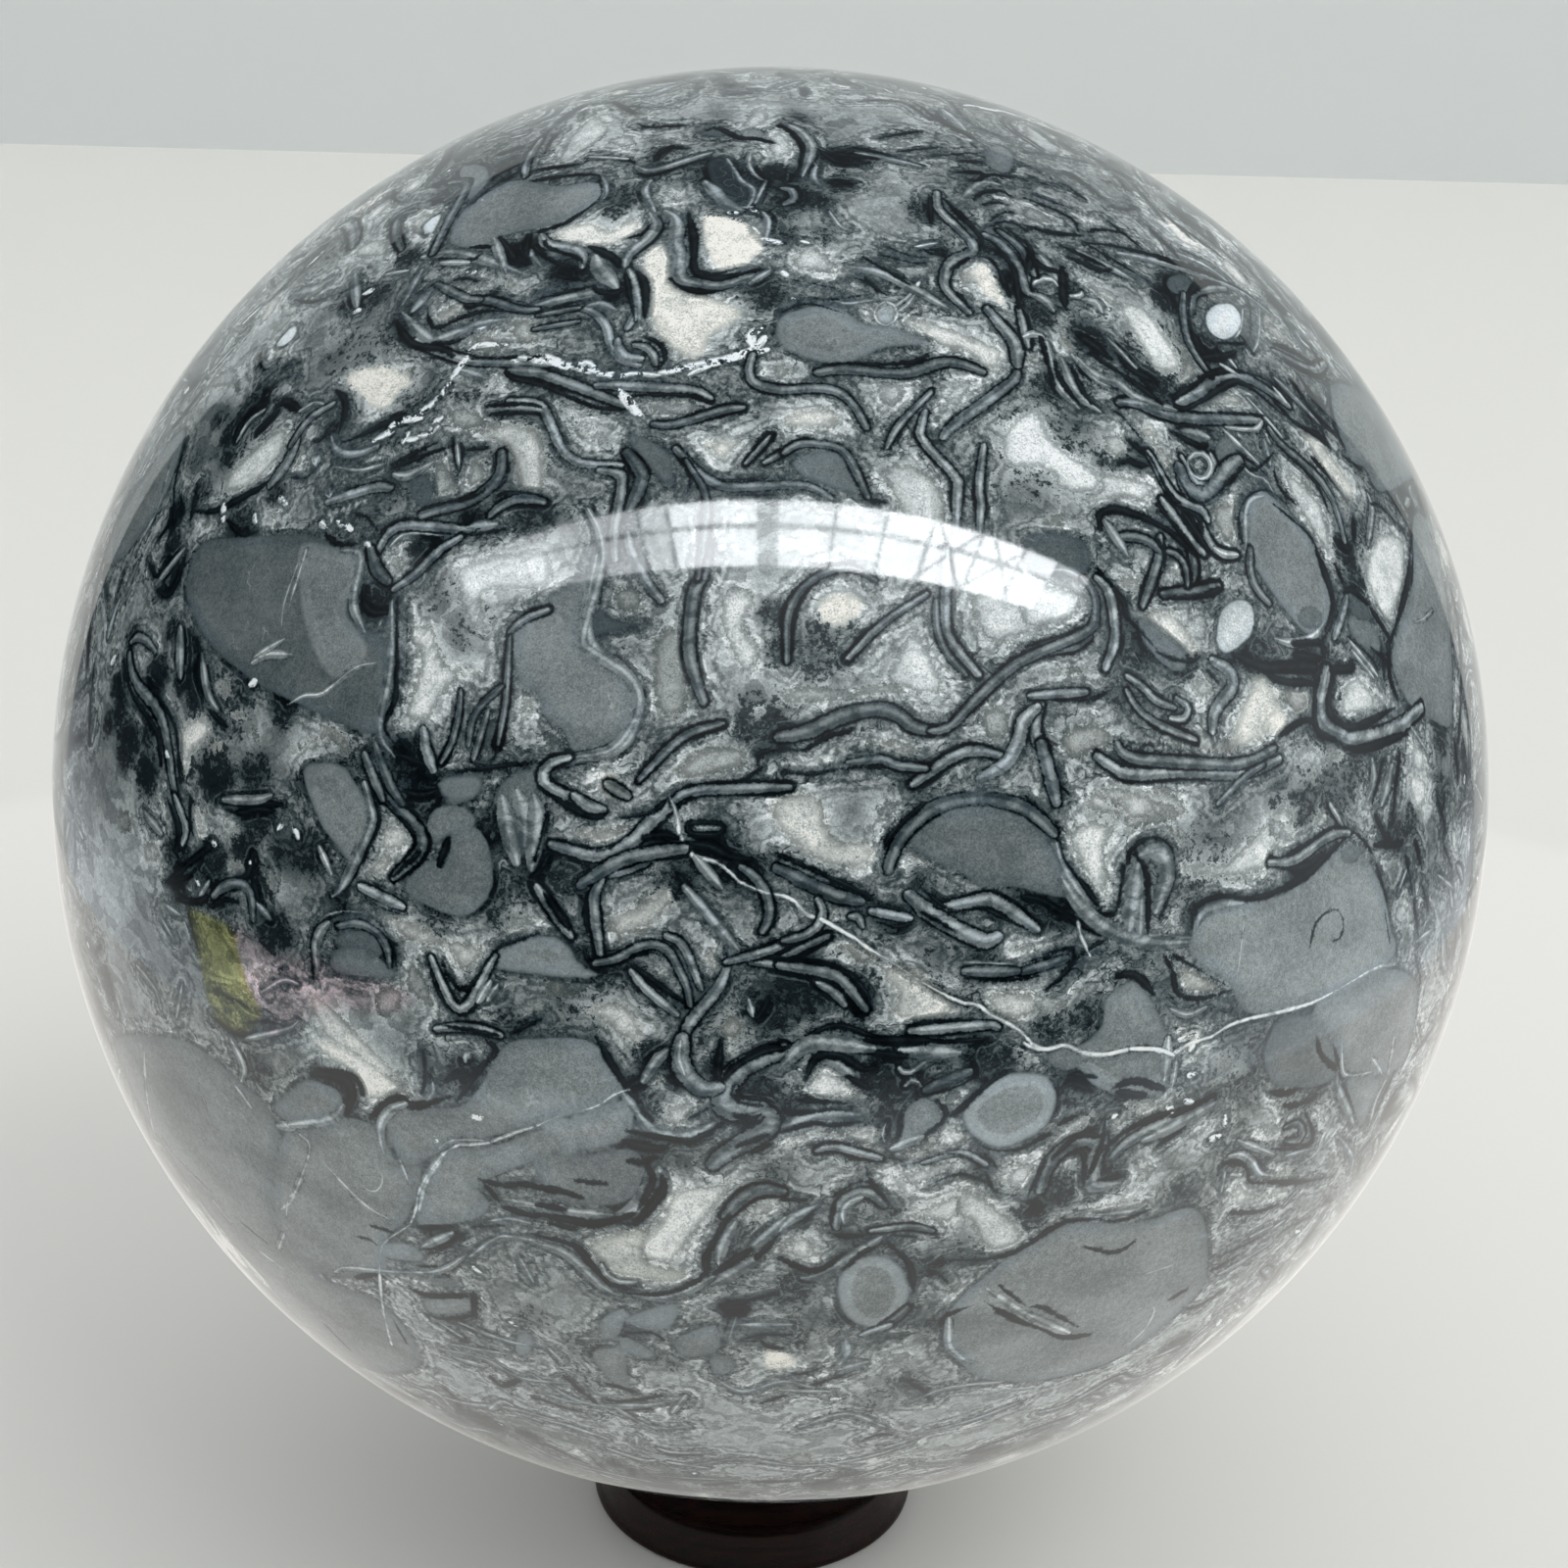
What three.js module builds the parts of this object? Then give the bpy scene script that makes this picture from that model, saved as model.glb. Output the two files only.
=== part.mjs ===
// A polished stone sphere resting in a small turned stand.
// Millimetres, +Z up, origin at the centre of the stand's underside.
// The sphere is one solid piece of stone. The stand is one turned piece of dark wood:
// a stepped foot, a hollow-curved waist and a rounded lip around a shallow dish.
// The sphere touches only the lip, so the middle of the dish stays clear of it.

import * as THREE from "three";

// Driving sizes of the sphere.
const SPHERE_DIAMETER = 100;
const SPHERE_SEGMENTS = 64; // around the vertical axis
const SPHERE_RINGS = 32; // from pole to pole

// Driving sizes of the stand.
const FOOT_DIAMETER = 24.6;
const FOOT_EDGE_HEIGHT = 3.6; // the step where the foot's wall turns inwards
const FOOT_TAPER = 0.9; // how far the foot's wall leans in by that height
const FOOT_EDGE_ROUND = 0.7;
const UNDERSIDE_CHAMFER = 0.4;
const LIP_RING_RADIUS = 9.6; // from the axis to the centre of the lip's round section
const LIP_SECTION_RADIUS = 1.7;
const LIP_CENTRE_HEIGHT = 8.6;
const WAIST_RADIUS = 8.9;
const WAIST_HEIGHT = 5.6;
const DISH_DEPTH = 2.6; // of the dish's middle below the top of the lip
const REST_GAP = 0.3; // between the sphere and the lip
const STAND_SEGMENTS = 64;

const sphereRadius = SPHERE_DIAMETER / 2;
const footRadius = FOOT_DIAMETER / 2;
const lipTop = LIP_CENTRE_HEIGHT + LIP_SECTION_RADIUS;

// The sphere's centre is above the lip where the two round sections nearly touch.
const centreToLip = sphereRadius + REST_GAP + LIP_SECTION_RADIUS;
const sphereCentreHeight =
  LIP_CENTRE_HEIGHT + Math.sqrt(centreToLip ** 2 - LIP_RING_RADIUS ** 2);

// Points of a round arc in the (radius, height) plane, both ends included.
function arc(centreRadius, centreHeight, radius, fromDegrees, toDegrees, steps) {
  const points = [];
  for (let i = 0; i <= steps; i += 1) {
    const angle = THREE.MathUtils.degToRad(
      THREE.MathUtils.lerp(fromDegrees, toDegrees, i / steps),
    );
    points.push(
      new THREE.Vector2(
        centreRadius + radius * Math.cos(angle),
        centreHeight + radius * Math.sin(angle),
      ),
    );
  }
  return points;
}

// The waist runs from the foot's step up to the underside of the lip as one hollow curve.
function waistCurve(start, end, steps) {
  const pull = new THREE.Vector2(WAIST_RADIUS - 1, WAIST_HEIGHT);
  return new THREE.QuadraticBezierCurve(start, pull, end).getPoints(steps);
}

// The stand's half section, from the axis along the underside, up the outside,
// over the lip and down the dish to the axis again.
function standProfile() {
  const stepRadius = footRadius - FOOT_TAPER;
  const wallFoot = [
    new THREE.Vector2(0, 0),
    new THREE.Vector2(footRadius - UNDERSIDE_CHAMFER, 0),
    new THREE.Vector2(footRadius, UNDERSIDE_CHAMFER),
  ];
  const stepEdge = arc(
    stepRadius - FOOT_EDGE_ROUND,
    FOOT_EDGE_HEIGHT - FOOT_EDGE_ROUND,
    FOOT_EDGE_ROUND,
    10,
    85,
    4,
  );
  const lip = arc(LIP_RING_RADIUS, LIP_CENTRE_HEIGHT, LIP_SECTION_RADIUS, -40, 130, 10);
  const waist = waistCurve(stepEdge.at(-1), lip[0], 6).slice(1, -1);
  const dishMiddle = new THREE.Vector2(0, lipTop - DISH_DEPTH);
  const dishPull = new THREE.Vector2(lip.at(-1).x * 0.6, dishMiddle.y);
  const dish = new THREE.QuadraticBezierCurve(lip.at(-1), dishPull, dishMiddle)
    .getPoints(5)
    .slice(1);
  return [...wallFoot, ...stepEdge, ...waist, ...lip, ...dish];
}

function makeStand() {
  const geometry = new THREE.LatheGeometry(standProfile(), STAND_SEGMENTS);
  geometry.rotateX(Math.PI / 2); // the lathe turns about Y, and the part stands on Z
  const wood = new THREE.MeshStandardMaterial({
    color: new THREE.Color(0.035, 0.014, 0.012),
    roughness: 0.32,
    metalness: 0,
  });
  const stand = new THREE.Mesh(geometry, wood);
  stand.name = "stand";
  return stand;
}

function makeSphere() {
  const geometry = new THREE.SphereGeometry(sphereRadius, SPHERE_SEGMENTS, SPHERE_RINGS);
  geometry.rotateX(Math.PI / 2); // puts the poles on the vertical axis
  const stone = new THREE.MeshStandardMaterial({
    color: new THREE.Color(0.16, 0.175, 0.18),
    roughness: 0.08,
    metalness: 0,
  });
  const sphere = new THREE.Mesh(geometry, stone);
  sphere.name = "sphere";
  sphere.position.z = sphereCentreHeight;
  return sphere;
}

const part = new THREE.Group();
part.add(makeStand(), makeSphere());

export default part;
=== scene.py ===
"""Looks of a polished, patterned stone ball resting on a small turned wooden stand.

Everything is in metres in the row frame: the origin is under the middle of the stand, +Z is up.
The marks in the stone are drawn on the ball as curves, and a shader turns their distances into colour.
"""

import math
from functools import partial

import bpy
import numpy as np
from mathutils import Matrix, Vector
from mathutils.kdtree import KDTree


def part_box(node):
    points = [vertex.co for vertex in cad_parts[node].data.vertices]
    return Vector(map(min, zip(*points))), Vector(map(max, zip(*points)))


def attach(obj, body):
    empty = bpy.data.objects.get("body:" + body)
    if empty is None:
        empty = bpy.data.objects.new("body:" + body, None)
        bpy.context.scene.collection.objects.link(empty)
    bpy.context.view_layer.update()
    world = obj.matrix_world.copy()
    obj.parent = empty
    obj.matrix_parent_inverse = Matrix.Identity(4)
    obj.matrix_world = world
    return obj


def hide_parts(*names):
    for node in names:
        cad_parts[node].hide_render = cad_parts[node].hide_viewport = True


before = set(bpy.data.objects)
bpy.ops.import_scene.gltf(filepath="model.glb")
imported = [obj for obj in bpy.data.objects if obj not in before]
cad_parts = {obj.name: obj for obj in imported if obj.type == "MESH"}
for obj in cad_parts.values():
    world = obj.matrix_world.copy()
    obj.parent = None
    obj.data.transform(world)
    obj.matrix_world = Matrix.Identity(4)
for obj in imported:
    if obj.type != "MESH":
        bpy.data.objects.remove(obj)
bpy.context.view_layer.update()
random_draw = np.random.default_rng(20)

# The camera stands close to the ball and looks down at it, a little turned about its own axis.
# It is placed by the ball's outline in the picture: a circle, whose size gives the lens.
PICTURE_SIDE = 1600
BALL_CENTRE_PIXEL = (786.0, 801.0)
BALL_OUTLINE_PIXELS = 733.0
CAMERA_DISTANCE_IN_RADII = 4.84
CAMERA_ELEVATION = math.radians(24.0)
CAMERA_ROLL = math.radians(1.5)
SENSOR_MM = 36.0

ball_low, ball_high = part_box("sphere")
ball_centre = (ball_low + ball_high) / 2
ball_radius = (ball_high.z - ball_low.z) / 2
focal_pixels = BALL_OUTLINE_PIXELS * math.sqrt(CAMERA_DISTANCE_IN_RADII**2 - 1)
camera_back = Vector((0.0, -math.cos(CAMERA_ELEVATION), math.sin(CAMERA_ELEVATION)))
level_up = Vector((0.0, math.sin(CAMERA_ELEVATION), math.cos(CAMERA_ELEVATION)))
level_right = Vector((1.0, 0.0, 0.0))
camera_right = math.cos(CAMERA_ROLL) * level_right + math.sin(CAMERA_ROLL) * level_up
camera_up = math.cos(CAMERA_ROLL) * level_up - math.sin(CAMERA_ROLL) * level_right
camera_place = ball_centre + camera_back * (CAMERA_DISTANCE_IN_RADII * ball_radius)

camera_data = bpy.data.cameras.new("camera")
camera_data.sensor_width = SENSOR_MM
camera_data.lens = focal_pixels / PICTURE_SIDE * SENSOR_MM
camera_data.shift_x = (PICTURE_SIDE / 2 - BALL_CENTRE_PIXEL[0]) / PICTURE_SIDE
camera_data.shift_y = (BALL_CENTRE_PIXEL[1] - PICTURE_SIDE / 2) / PICTURE_SIDE
camera_data.clip_start = 0.01
camera_data.clip_end = 50.0
camera = bpy.data.objects.new("camera", camera_data)
bpy.context.scene.collection.objects.link(camera)
camera_axes = Matrix((camera_right, camera_up, camera_back)).transposed().to_4x4()
camera.matrix_world = Matrix.Translation(camera_place) @ camera_axes
bpy.context.scene.camera = camera

# The ball is one solid piece of polished jasper, ground to a true sphere, and simply lies in the stand.
# Its mesh is a cube blown up into a sphere, so that no faces crowd together at a pole.
BALL_CELLS_PER_SIDE = 128
BALL_FRONT_CROWDING = 1.4  # the faces towards the camera are this much smaller than even ones


def new_tree(name, inputs):
    """A geometry node tree with these named float or vector inputs, its input node and its output node."""
    tree = bpy.data.node_groups.new(name, "GeometryNodeTree")
    for input_name, kind in inputs:
        tree.interface.new_socket(input_name, in_out="INPUT", socket_type=kind)
    tree.interface.new_socket("Geometry", in_out="OUTPUT", socket_type="NodeSocketGeometry")
    return tree, tree.nodes.new("NodeGroupInput"), tree.nodes.new("NodeGroupOutput")


def add_node(tree, kind, values=(), **settings):
    """A node with these settings. values is a list of (input, number or output socket to link)."""
    made = tree.nodes.new(kind)
    for name, value in settings.items():
        setattr(made, name, value)
    for name, value in values:
        if isinstance(value, bpy.types.NodeSocket):
            tree.links.new(value, made.inputs[name])
        else:
            made.inputs[name].default_value = value
    return made


def vector_math(tree, operation, *values):
    """The output of a vector math node."""
    made = add_node(tree, "ShaderNodeVectorMath", list(enumerate(values)), operation=operation)
    return made.outputs["Value" if operation in ("DOT_PRODUCT", "LENGTH") else "Vector"]


def scaled(tree, vector, factor):
    """The output of a vector math node that scales."""
    made = add_node(tree, "ShaderNodeVectorMath", [("Vector", vector), ("Scale", factor)], operation="SCALE")
    return made.outputs["Vector"]


def plain_math(tree, operation, *values):
    """The output of a math node."""
    made = add_node(tree, "ShaderNodeMath", list(enumerate(values)), operation=operation)
    return made.outputs[0]


def finish_tree(tree, output, geometry, material):
    """Ends a tree in smooth shading, realised instances and one material."""
    smooth = add_node(tree, "GeometryNodeSetShadeSmooth", [("Geometry", geometry)])
    real = add_node(tree, "GeometryNodeRealizeInstances", [("Geometry", smooth.outputs[0])])
    painted = add_node(
        tree, "GeometryNodeSetMaterial", [("Geometry", real.outputs[0]), ("Material", material)]
    )
    tree.links.new(painted.outputs[0], output.inputs[0])


def mesh_from_tree(name, tree, material, inputs):
    """Runs a tree once and keeps what it makes as a plain mesh object of that name."""
    seed_mesh = bpy.data.meshes.new(name + "_seed")
    maker = bpy.data.objects.new(name + "_maker", seed_mesh)
    bpy.context.scene.collection.objects.link(maker)
    modifier = maker.modifiers.new("nodes", "NODES")
    modifier.node_group = tree
    identifiers = {s.name: s.identifier for s in tree.interface.items_tree if s.in_out == "INPUT"}
    for input_name, value in inputs:
        modifier[identifiers[input_name]] = value
    shown = maker.evaluated_get(bpy.context.evaluated_depsgraph_get())
    mesh = bpy.data.meshes.new_from_object(shown)
    mesh.name = name
    bpy.data.objects.remove(maker)
    bpy.data.meshes.remove(seed_mesh)
    if not mesh.materials:
        mesh.materials.append(material)
    made = bpy.data.objects.new(name, mesh)
    bpy.context.scene.collection.objects.link(made)
    return made


stone = bpy.data.materials.new("polished_picasso_jasper")
stone.use_nodes = True

tree, tree_in, tree_out = new_tree(
    "ball_grid",
    [
        ("Radius", "NodeSocketFloat"),
        ("Centre", "NodeSocketVector"),
        ("Front", "NodeSocketVector"),
        ("Crowding", "NodeSocketFloat"),
    ],
)
cube = add_node(
    tree,
    "GeometryNodeMeshCube",
    [("Size", (2.0, 2.0, 2.0))] + [("Vertices " + axis, BALL_CELLS_PER_SIDE + 1) for axis in "XYZ"],
)
place = add_node(tree, "GeometryNodeInputPosition").outputs[0]
keep = add_node(
    tree,
    "GeometryNodeStoreNamedAttribute",
    [("Geometry", cube.outputs["Mesh"]), ("Name", "cube_place"), ("Value", place)],
    data_type="FLOAT_VECTOR",
    domain="POINT",
)
# Equal steps across a cube face become equal angles on the sphere.
apart = add_node(tree, "ShaderNodeSeparateXYZ", [(0, scaled(tree, place, math.pi / 4))])
even = add_node(
    tree,
    "ShaderNodeCombineXYZ",
    [(axis, plain_math(tree, "TANGENT", apart.outputs[axis])) for axis in range(3)],
)
direction = vector_math(tree, "NORMALIZE", even.outputs[0])
# The points then slide towards the front, which keeps every face nearly square.
towards = vector_math(tree, "DOT_PRODUCT", direction, tree_in.outputs["Front"])
near = plain_math(
    tree,
    "MULTIPLY",
    plain_math(tree, "ADD", towards, 1.0),
    plain_math(tree, "MULTIPLY", tree_in.outputs["Crowding"], tree_in.outputs["Crowding"]),
)
far = plain_math(tree, "SUBTRACT", 1.0, towards)
across = vector_math(tree, "SUBTRACT", direction, scaled(tree, tree_in.outputs["Front"], towards))
slid = vector_math(
    tree,
    "NORMALIZE",
    vector_math(
        tree,
        "ADD",
        scaled(tree, across, plain_math(tree, "MULTIPLY", tree_in.outputs["Crowding"], 2.0)),
        scaled(tree, tree_in.outputs["Front"], plain_math(tree, "SUBTRACT", near, far)),
    ),
)
on_sphere = vector_math(tree, "ADD", scaled(tree, slid, tree_in.outputs["Radius"]), tree_in.outputs["Centre"])
moved = add_node(tree, "GeometryNodeSetPosition", [("Geometry", keep.outputs[0]), ("Position", on_sphere)])
finish_tree(tree, tree_out, moved.outputs[0], stone)
ball = mesh_from_tree(
    "jasper_ball",
    tree,
    stone,
    [
        ("Radius", ball_radius),
        ("Centre", tuple(ball_centre)),
        ("Front", tuple(camera_back)),
        ("Crowding", BALL_FRONT_CROWDING),
    ],
)

# Each side of the cube gets its own tile of the flat map, three across and two up.
ball_mesh = ball.data
corner_vertex = np.empty(len(ball_mesh.loops), dtype=np.int32)
ball_mesh.loops.foreach_get("vertex_index", corner_vertex)
cube_place = np.empty(len(ball_mesh.vertices) * 3, dtype=np.float32)
ball_mesh.attributes["cube_place"].data.foreach_get("vector", cube_place)
cube_place = cube_place.reshape(-1, 3)
face_middle = cube_place[corner_vertex].reshape(-1, 4, 3).mean(axis=1)
side_axis = np.abs(face_middle).argmax(axis=1)
side_positive = face_middle[np.arange(len(face_middle)), side_axis] > 0
corner_axis = np.repeat(side_axis, 4)
corner_positive = np.repeat(side_positive, 4)
corner_place = cube_place[corner_vertex]
row = np.arange(len(corner_place))
TILE_MARGIN = 0.985
along = corner_place[row, (corner_axis + 1) % 3] * np.where(corner_positive, 1, -1) * TILE_MARGIN
upward = corner_place[row, (corner_axis + 2) % 3] * TILE_MARGIN
flat_map = np.stack([(corner_axis + 0.5 + along / 2) / 3, (corner_positive + 0.5 + upward / 2) / 2], axis=1)
flat_layer = ball_mesh.uv_layers.new(name="OFBake")
flat_layer.data.foreach_set("uv", flat_map.astype(np.float32).ravel())
ball_mesh.attributes.remove(ball_mesh.attributes["cube_place"])

# The marks that the picture shows, read in its pixels, as x, y pairs along a line or round a patch.
# The numbers before the pairs are hundredths, and each list says what they are.
# A worm is a grey thread with a near-black edge on both sides. Half width in mm, then points.
worms = [
    (40, 442,258,474,196,474,185,460,186), (34, 410,254,404,240,405,226,412,218,424,215),
    (30, 446,290,474,304,490,306), (34, 480,310,496,306,530,316,548,316), (30, 536,180,538,165,552,142),
    (34, 956,196,956,206,962,218,992,248,990,258,978,262,968,270,964,282,966,296,988,318),
    (40, 1006,240,1018,246,1028,256,1036,268,1048,298), (34, 1020,236,1042,254,1055,280),
    (28, 798,192,808,194,810,204,800,208), (34, 1216,318,1216,304,1224,296,1250,294),
    (34, 1048,278,1046,290,1048,300), (44, 303,450,292,474,276,494), (30, 425,347,442,356,485,369,560,372),
    (30, 296,455,315,428,340,412), (34, 335,512,380,498,398,498),
    (38, 512,462,512,478,505,492,492,503,476,512,430,526), (30, 555,512,540,509,525,510,510,517,500,526),
    (34, 386,562,392,550,402,540,418,536,478,541), (25, 648,352,658,354,666,361,669,371),
    (34, 630,348,632,358,640,365,654,366), (30, 654,300,649,320,640,335),
    (30, 590,313,608,320,619,334,623,351,634,367,652,373), (36, 522,378,545,380,565,386,636,413),
    (34, 610,393,700,398,724,406), (30, 520,409,545,411,556,420,570,452,580,465,595,473,633,475),
    (30, 612,480,630,483,635,492,627,540,628,570), (40, 640,462,650,475,655,490,643,518),
    (30, 690,458,712,482,728,492,745,497,805,495,828,497,847,508), (22, 700,470,720,505,719,545,712,590),
    (28, 667,433,690,433,740,418,757,416),
    (30, 768,362,764,378,772,392,800,398,830,396,855,400,872,415,884,436), (18, 760,474,786,445),
    (18, 780,472,810,456), (20, 545,336,590,328), (20, 548,322,592,314),
    (35, 835,380,860,377,920,381,960,370,980,371,1002,379), (20, 951,399,918,433,905,456),
    (30, 944,420,940,435,942,450,975,487,977,500,975,545), (36, 1038,380,1030,392,972,435,963,446),
    (26, 1004,455,999,495,1001,515,999,545), (26, 800,462,815,453,835,453,855,457,868,470,885,506),
    (45, 1008,316,1035,350,1038,372), (26, 1040,316,1049,354),
    (30, 1208,300,1207,318,1210,338,1216,355,1234,382),
    (46, 1203,410,1216,405,1242,388,1258,384,1272,386,1286,393,1314,413),
    (44, 1142,411,1158,411,1206,426,1285,429),
    (62, 1204,478,1208,492,1216,502,1228,506,1238,500,1254,478,1264,470),
    (24, 1206,466,1220,492,1230,496,1238,488,1240,474,1236,464), (36, 1172,462,1198,506,1226,519,1232,530),
    (34, 1186,510,1214,550,1228,564), (30, 1214,518,1222,528,1236,556,1248,565,1262,566),
    (30, 1140,548,1158,548,1172,552,1184,562), (36, 1300,358,1330,374,1344,376,1352,370),
    (34, 1296,438,1306,452,1344,486,1354,500,1362,515,1372,552), (30, 134,655,140,650,150,654,158,664),
    (44, 132,668,134,684,140,698,166,736,180,818), (40, 378,560,384,580,396,593),
    (30, 402,601,425,585,448,562,470,548), (22, 520,650,516,715,508,760), (24, 520,645,535,632,560,622),
    (22, 512,700,485,728,478,760), (22, 470,705,468,730,460,760,450,778), (20, 498,725,483,775),
    (36, 432,745,435,765,442,785), (38, 405,797,447,792), (30, 383,760,398,800,410,820),
    (30, 372,770,390,815), (32, 580,773,560,780,553,793,565,805,612,826),
    (30, 640,545,645,565,662,597,674,612), (38, 722,555,718,585,708,605,703,655,706,680,718,716),
    (26, 736,738,695,753,652,796), (32, 688,817,710,807,805,803),
    (24, 803,675,804,630,812,610,825,595,845,583,870,580,893,592), (24, 865,672,900,637,946,606),
    (32, 966,560,965,635,973,658,998,688), (20, 955,612,956,640,965,665,985,688),
    (42, 795,752,820,748,865,729,895,724,915,729,930,741,950,746),
    (28, 950,746,970,741,1002,708,1040,676,1108,645,1118,628,1116,605,1105,590),
    (26, 866,778,900,775,915,781,945,784), (34, 932,800,975,771,1000,766,1022,772),
    (42, 1000,794,1015,787,1030,775,1040,755,1045,735,1058,722), (34, 1120,590,1132,605,1138,650,1128,682),
    (28, 1045,672,1070,664,1095,660,1112,650), (30, 1184,548,1182,570,1166,618),
    (20, 1188,562,1200,565,1210,578,1212,598), (30, 1215,560,1219,580,1216,596),
    (34, 1187,606,1225,603,1243,598), (28, 1276,560,1276,585,1284,603,1295,615),
    (42, 1238,674,1255,685,1258,700,1240,725,1237,745), (22, 1220,755,1180,738,1160,722,1150,705),
    (34, 1140,760,1145,768,1165,775,1245,780,1275,777,1300,764),
    (40, 1120,772,1135,782,1155,790,1215,787,1250,790,1280,786,1305,775), (40, 1062,718,1055,735,1058,758),
    (46, 1063,760,1078,818), (28, 1052,710,1108,706), (22, 1243,820,1270,793,1290,780),
    (20, 1200,712,1213,722,1208,733,1195,733), (24, 1150,690,1165,700,1180,715,1198,722),
    (34, 1374,610,1362,650), (58, 1354,684,1347,716,1348,732,1356,744,1370,750,1386,754,1420,746,1450,722),
    (34, 178,812,188,838,190,850,186,860), (34, 218,914,226,906,238,902,250,904,256,914,258,938),
    (36, 388,808,420,838,430,852,428,870,402,895), (34, 368,905,410,925),
    (28, 345,945,365,942,385,952,395,968,397,985), (28, 440,977,456,1015,465,1028,478,1025,505,975),
    (30, 445,1050,465,1048,490,1050,510,1056), (36, 640,812,620,800), (32, 586,812,600,822,615,826),
    (40, 563,862,605,873,630,868,650,855,660,842,690,817,708,808), (40, 592,903,630,880,655,872,698,866),
    (26, 622,893,660,880), (34, 614,898,606,918,612,973),
    (26, 606,983,630,978,650,967,668,964,683,972,700,1005,704,1025), (26, 680,955,697,965,715,1008),
    (30, 757,885,770,895,782,912,785,935,778,950), (34, 742,988,733,1008,703,1045,694,1068),
    (26, 740,982,785,970,810,958), (28, 767,982,820,987,850,995,880,1028), (34, 548,905,582,955),
    (26, 645,992,660,1010,690,1035), (16, 708,845,734,845),
    (42, 1075,850,1060,835,1040,822,1010,815,980,816,950,826,930,842,915,862,906,888),
    (40, 793,886,850,913,878,920), (30, 890,930,928,937), (50, 928,914,955,936,1003,960,1018,956),
    (42, 968,925,1005,918,1025,925,1058,948), (34, 985,991,1038,991), (34, 1042,992,1088,978),
    (34, 795,985,845,993,862,1003,883,1030), (24, 835,1004,850,1012,862,1025),
    (52, 795,1085,815,1078,840,1062,865,1056,920,1071,985,1076), (32, 930,1052,1005,1046,1018,1048),
    (22, 868,935,875,935,880,945), (22, 800,960,820,955,835,945,840,930,835,918), (24, 800,975,845,955),
        (50, 1078,1010,1092,992,1112,978,1135,970,1158,970,1178,980,1188,1000,1190,1018,1198,1030,1215,1034,
        1255,1024,1275,1030), (30, 1296,880,1310,880,1324,876,1352,856,1366,850,1376,850),
    (60, 696,1060,694,1078,698,1092,706,1104,718,1112,732,1110), (68, 800,1072,768,1084,754,1092,744,1102,
        736,1122,744,1132,776,1134,784,1142,782,1152,742,1176,728,1188),
    (44, 740,1240,764,1218,780,1214,798,1216), (40, 946,1112,988,1094), (30, 834,1174,850,1170,898,1182),
    (24, 942,1186,976,1176,992,1180,1006,1188),
    (34, 854,1252,854,1240,858,1228,868,1220,880,1216,892,1220,902,1230),
    (24, 888,1256,920,1252,936,1252,952,1256),
    (50, 1062,1214,1070,1188,1088,1170,1100,1164,1112,1164,1120,1170), (44, 1136,1180,1160,1160,1236,1122),
    (24, 1312,1150,1324,1146,1330,1156,1326,1164,1312,1164), (30, 902,1352,916,1344,926,1334),
    (30, 880,1362,908,1352),
]
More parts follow.
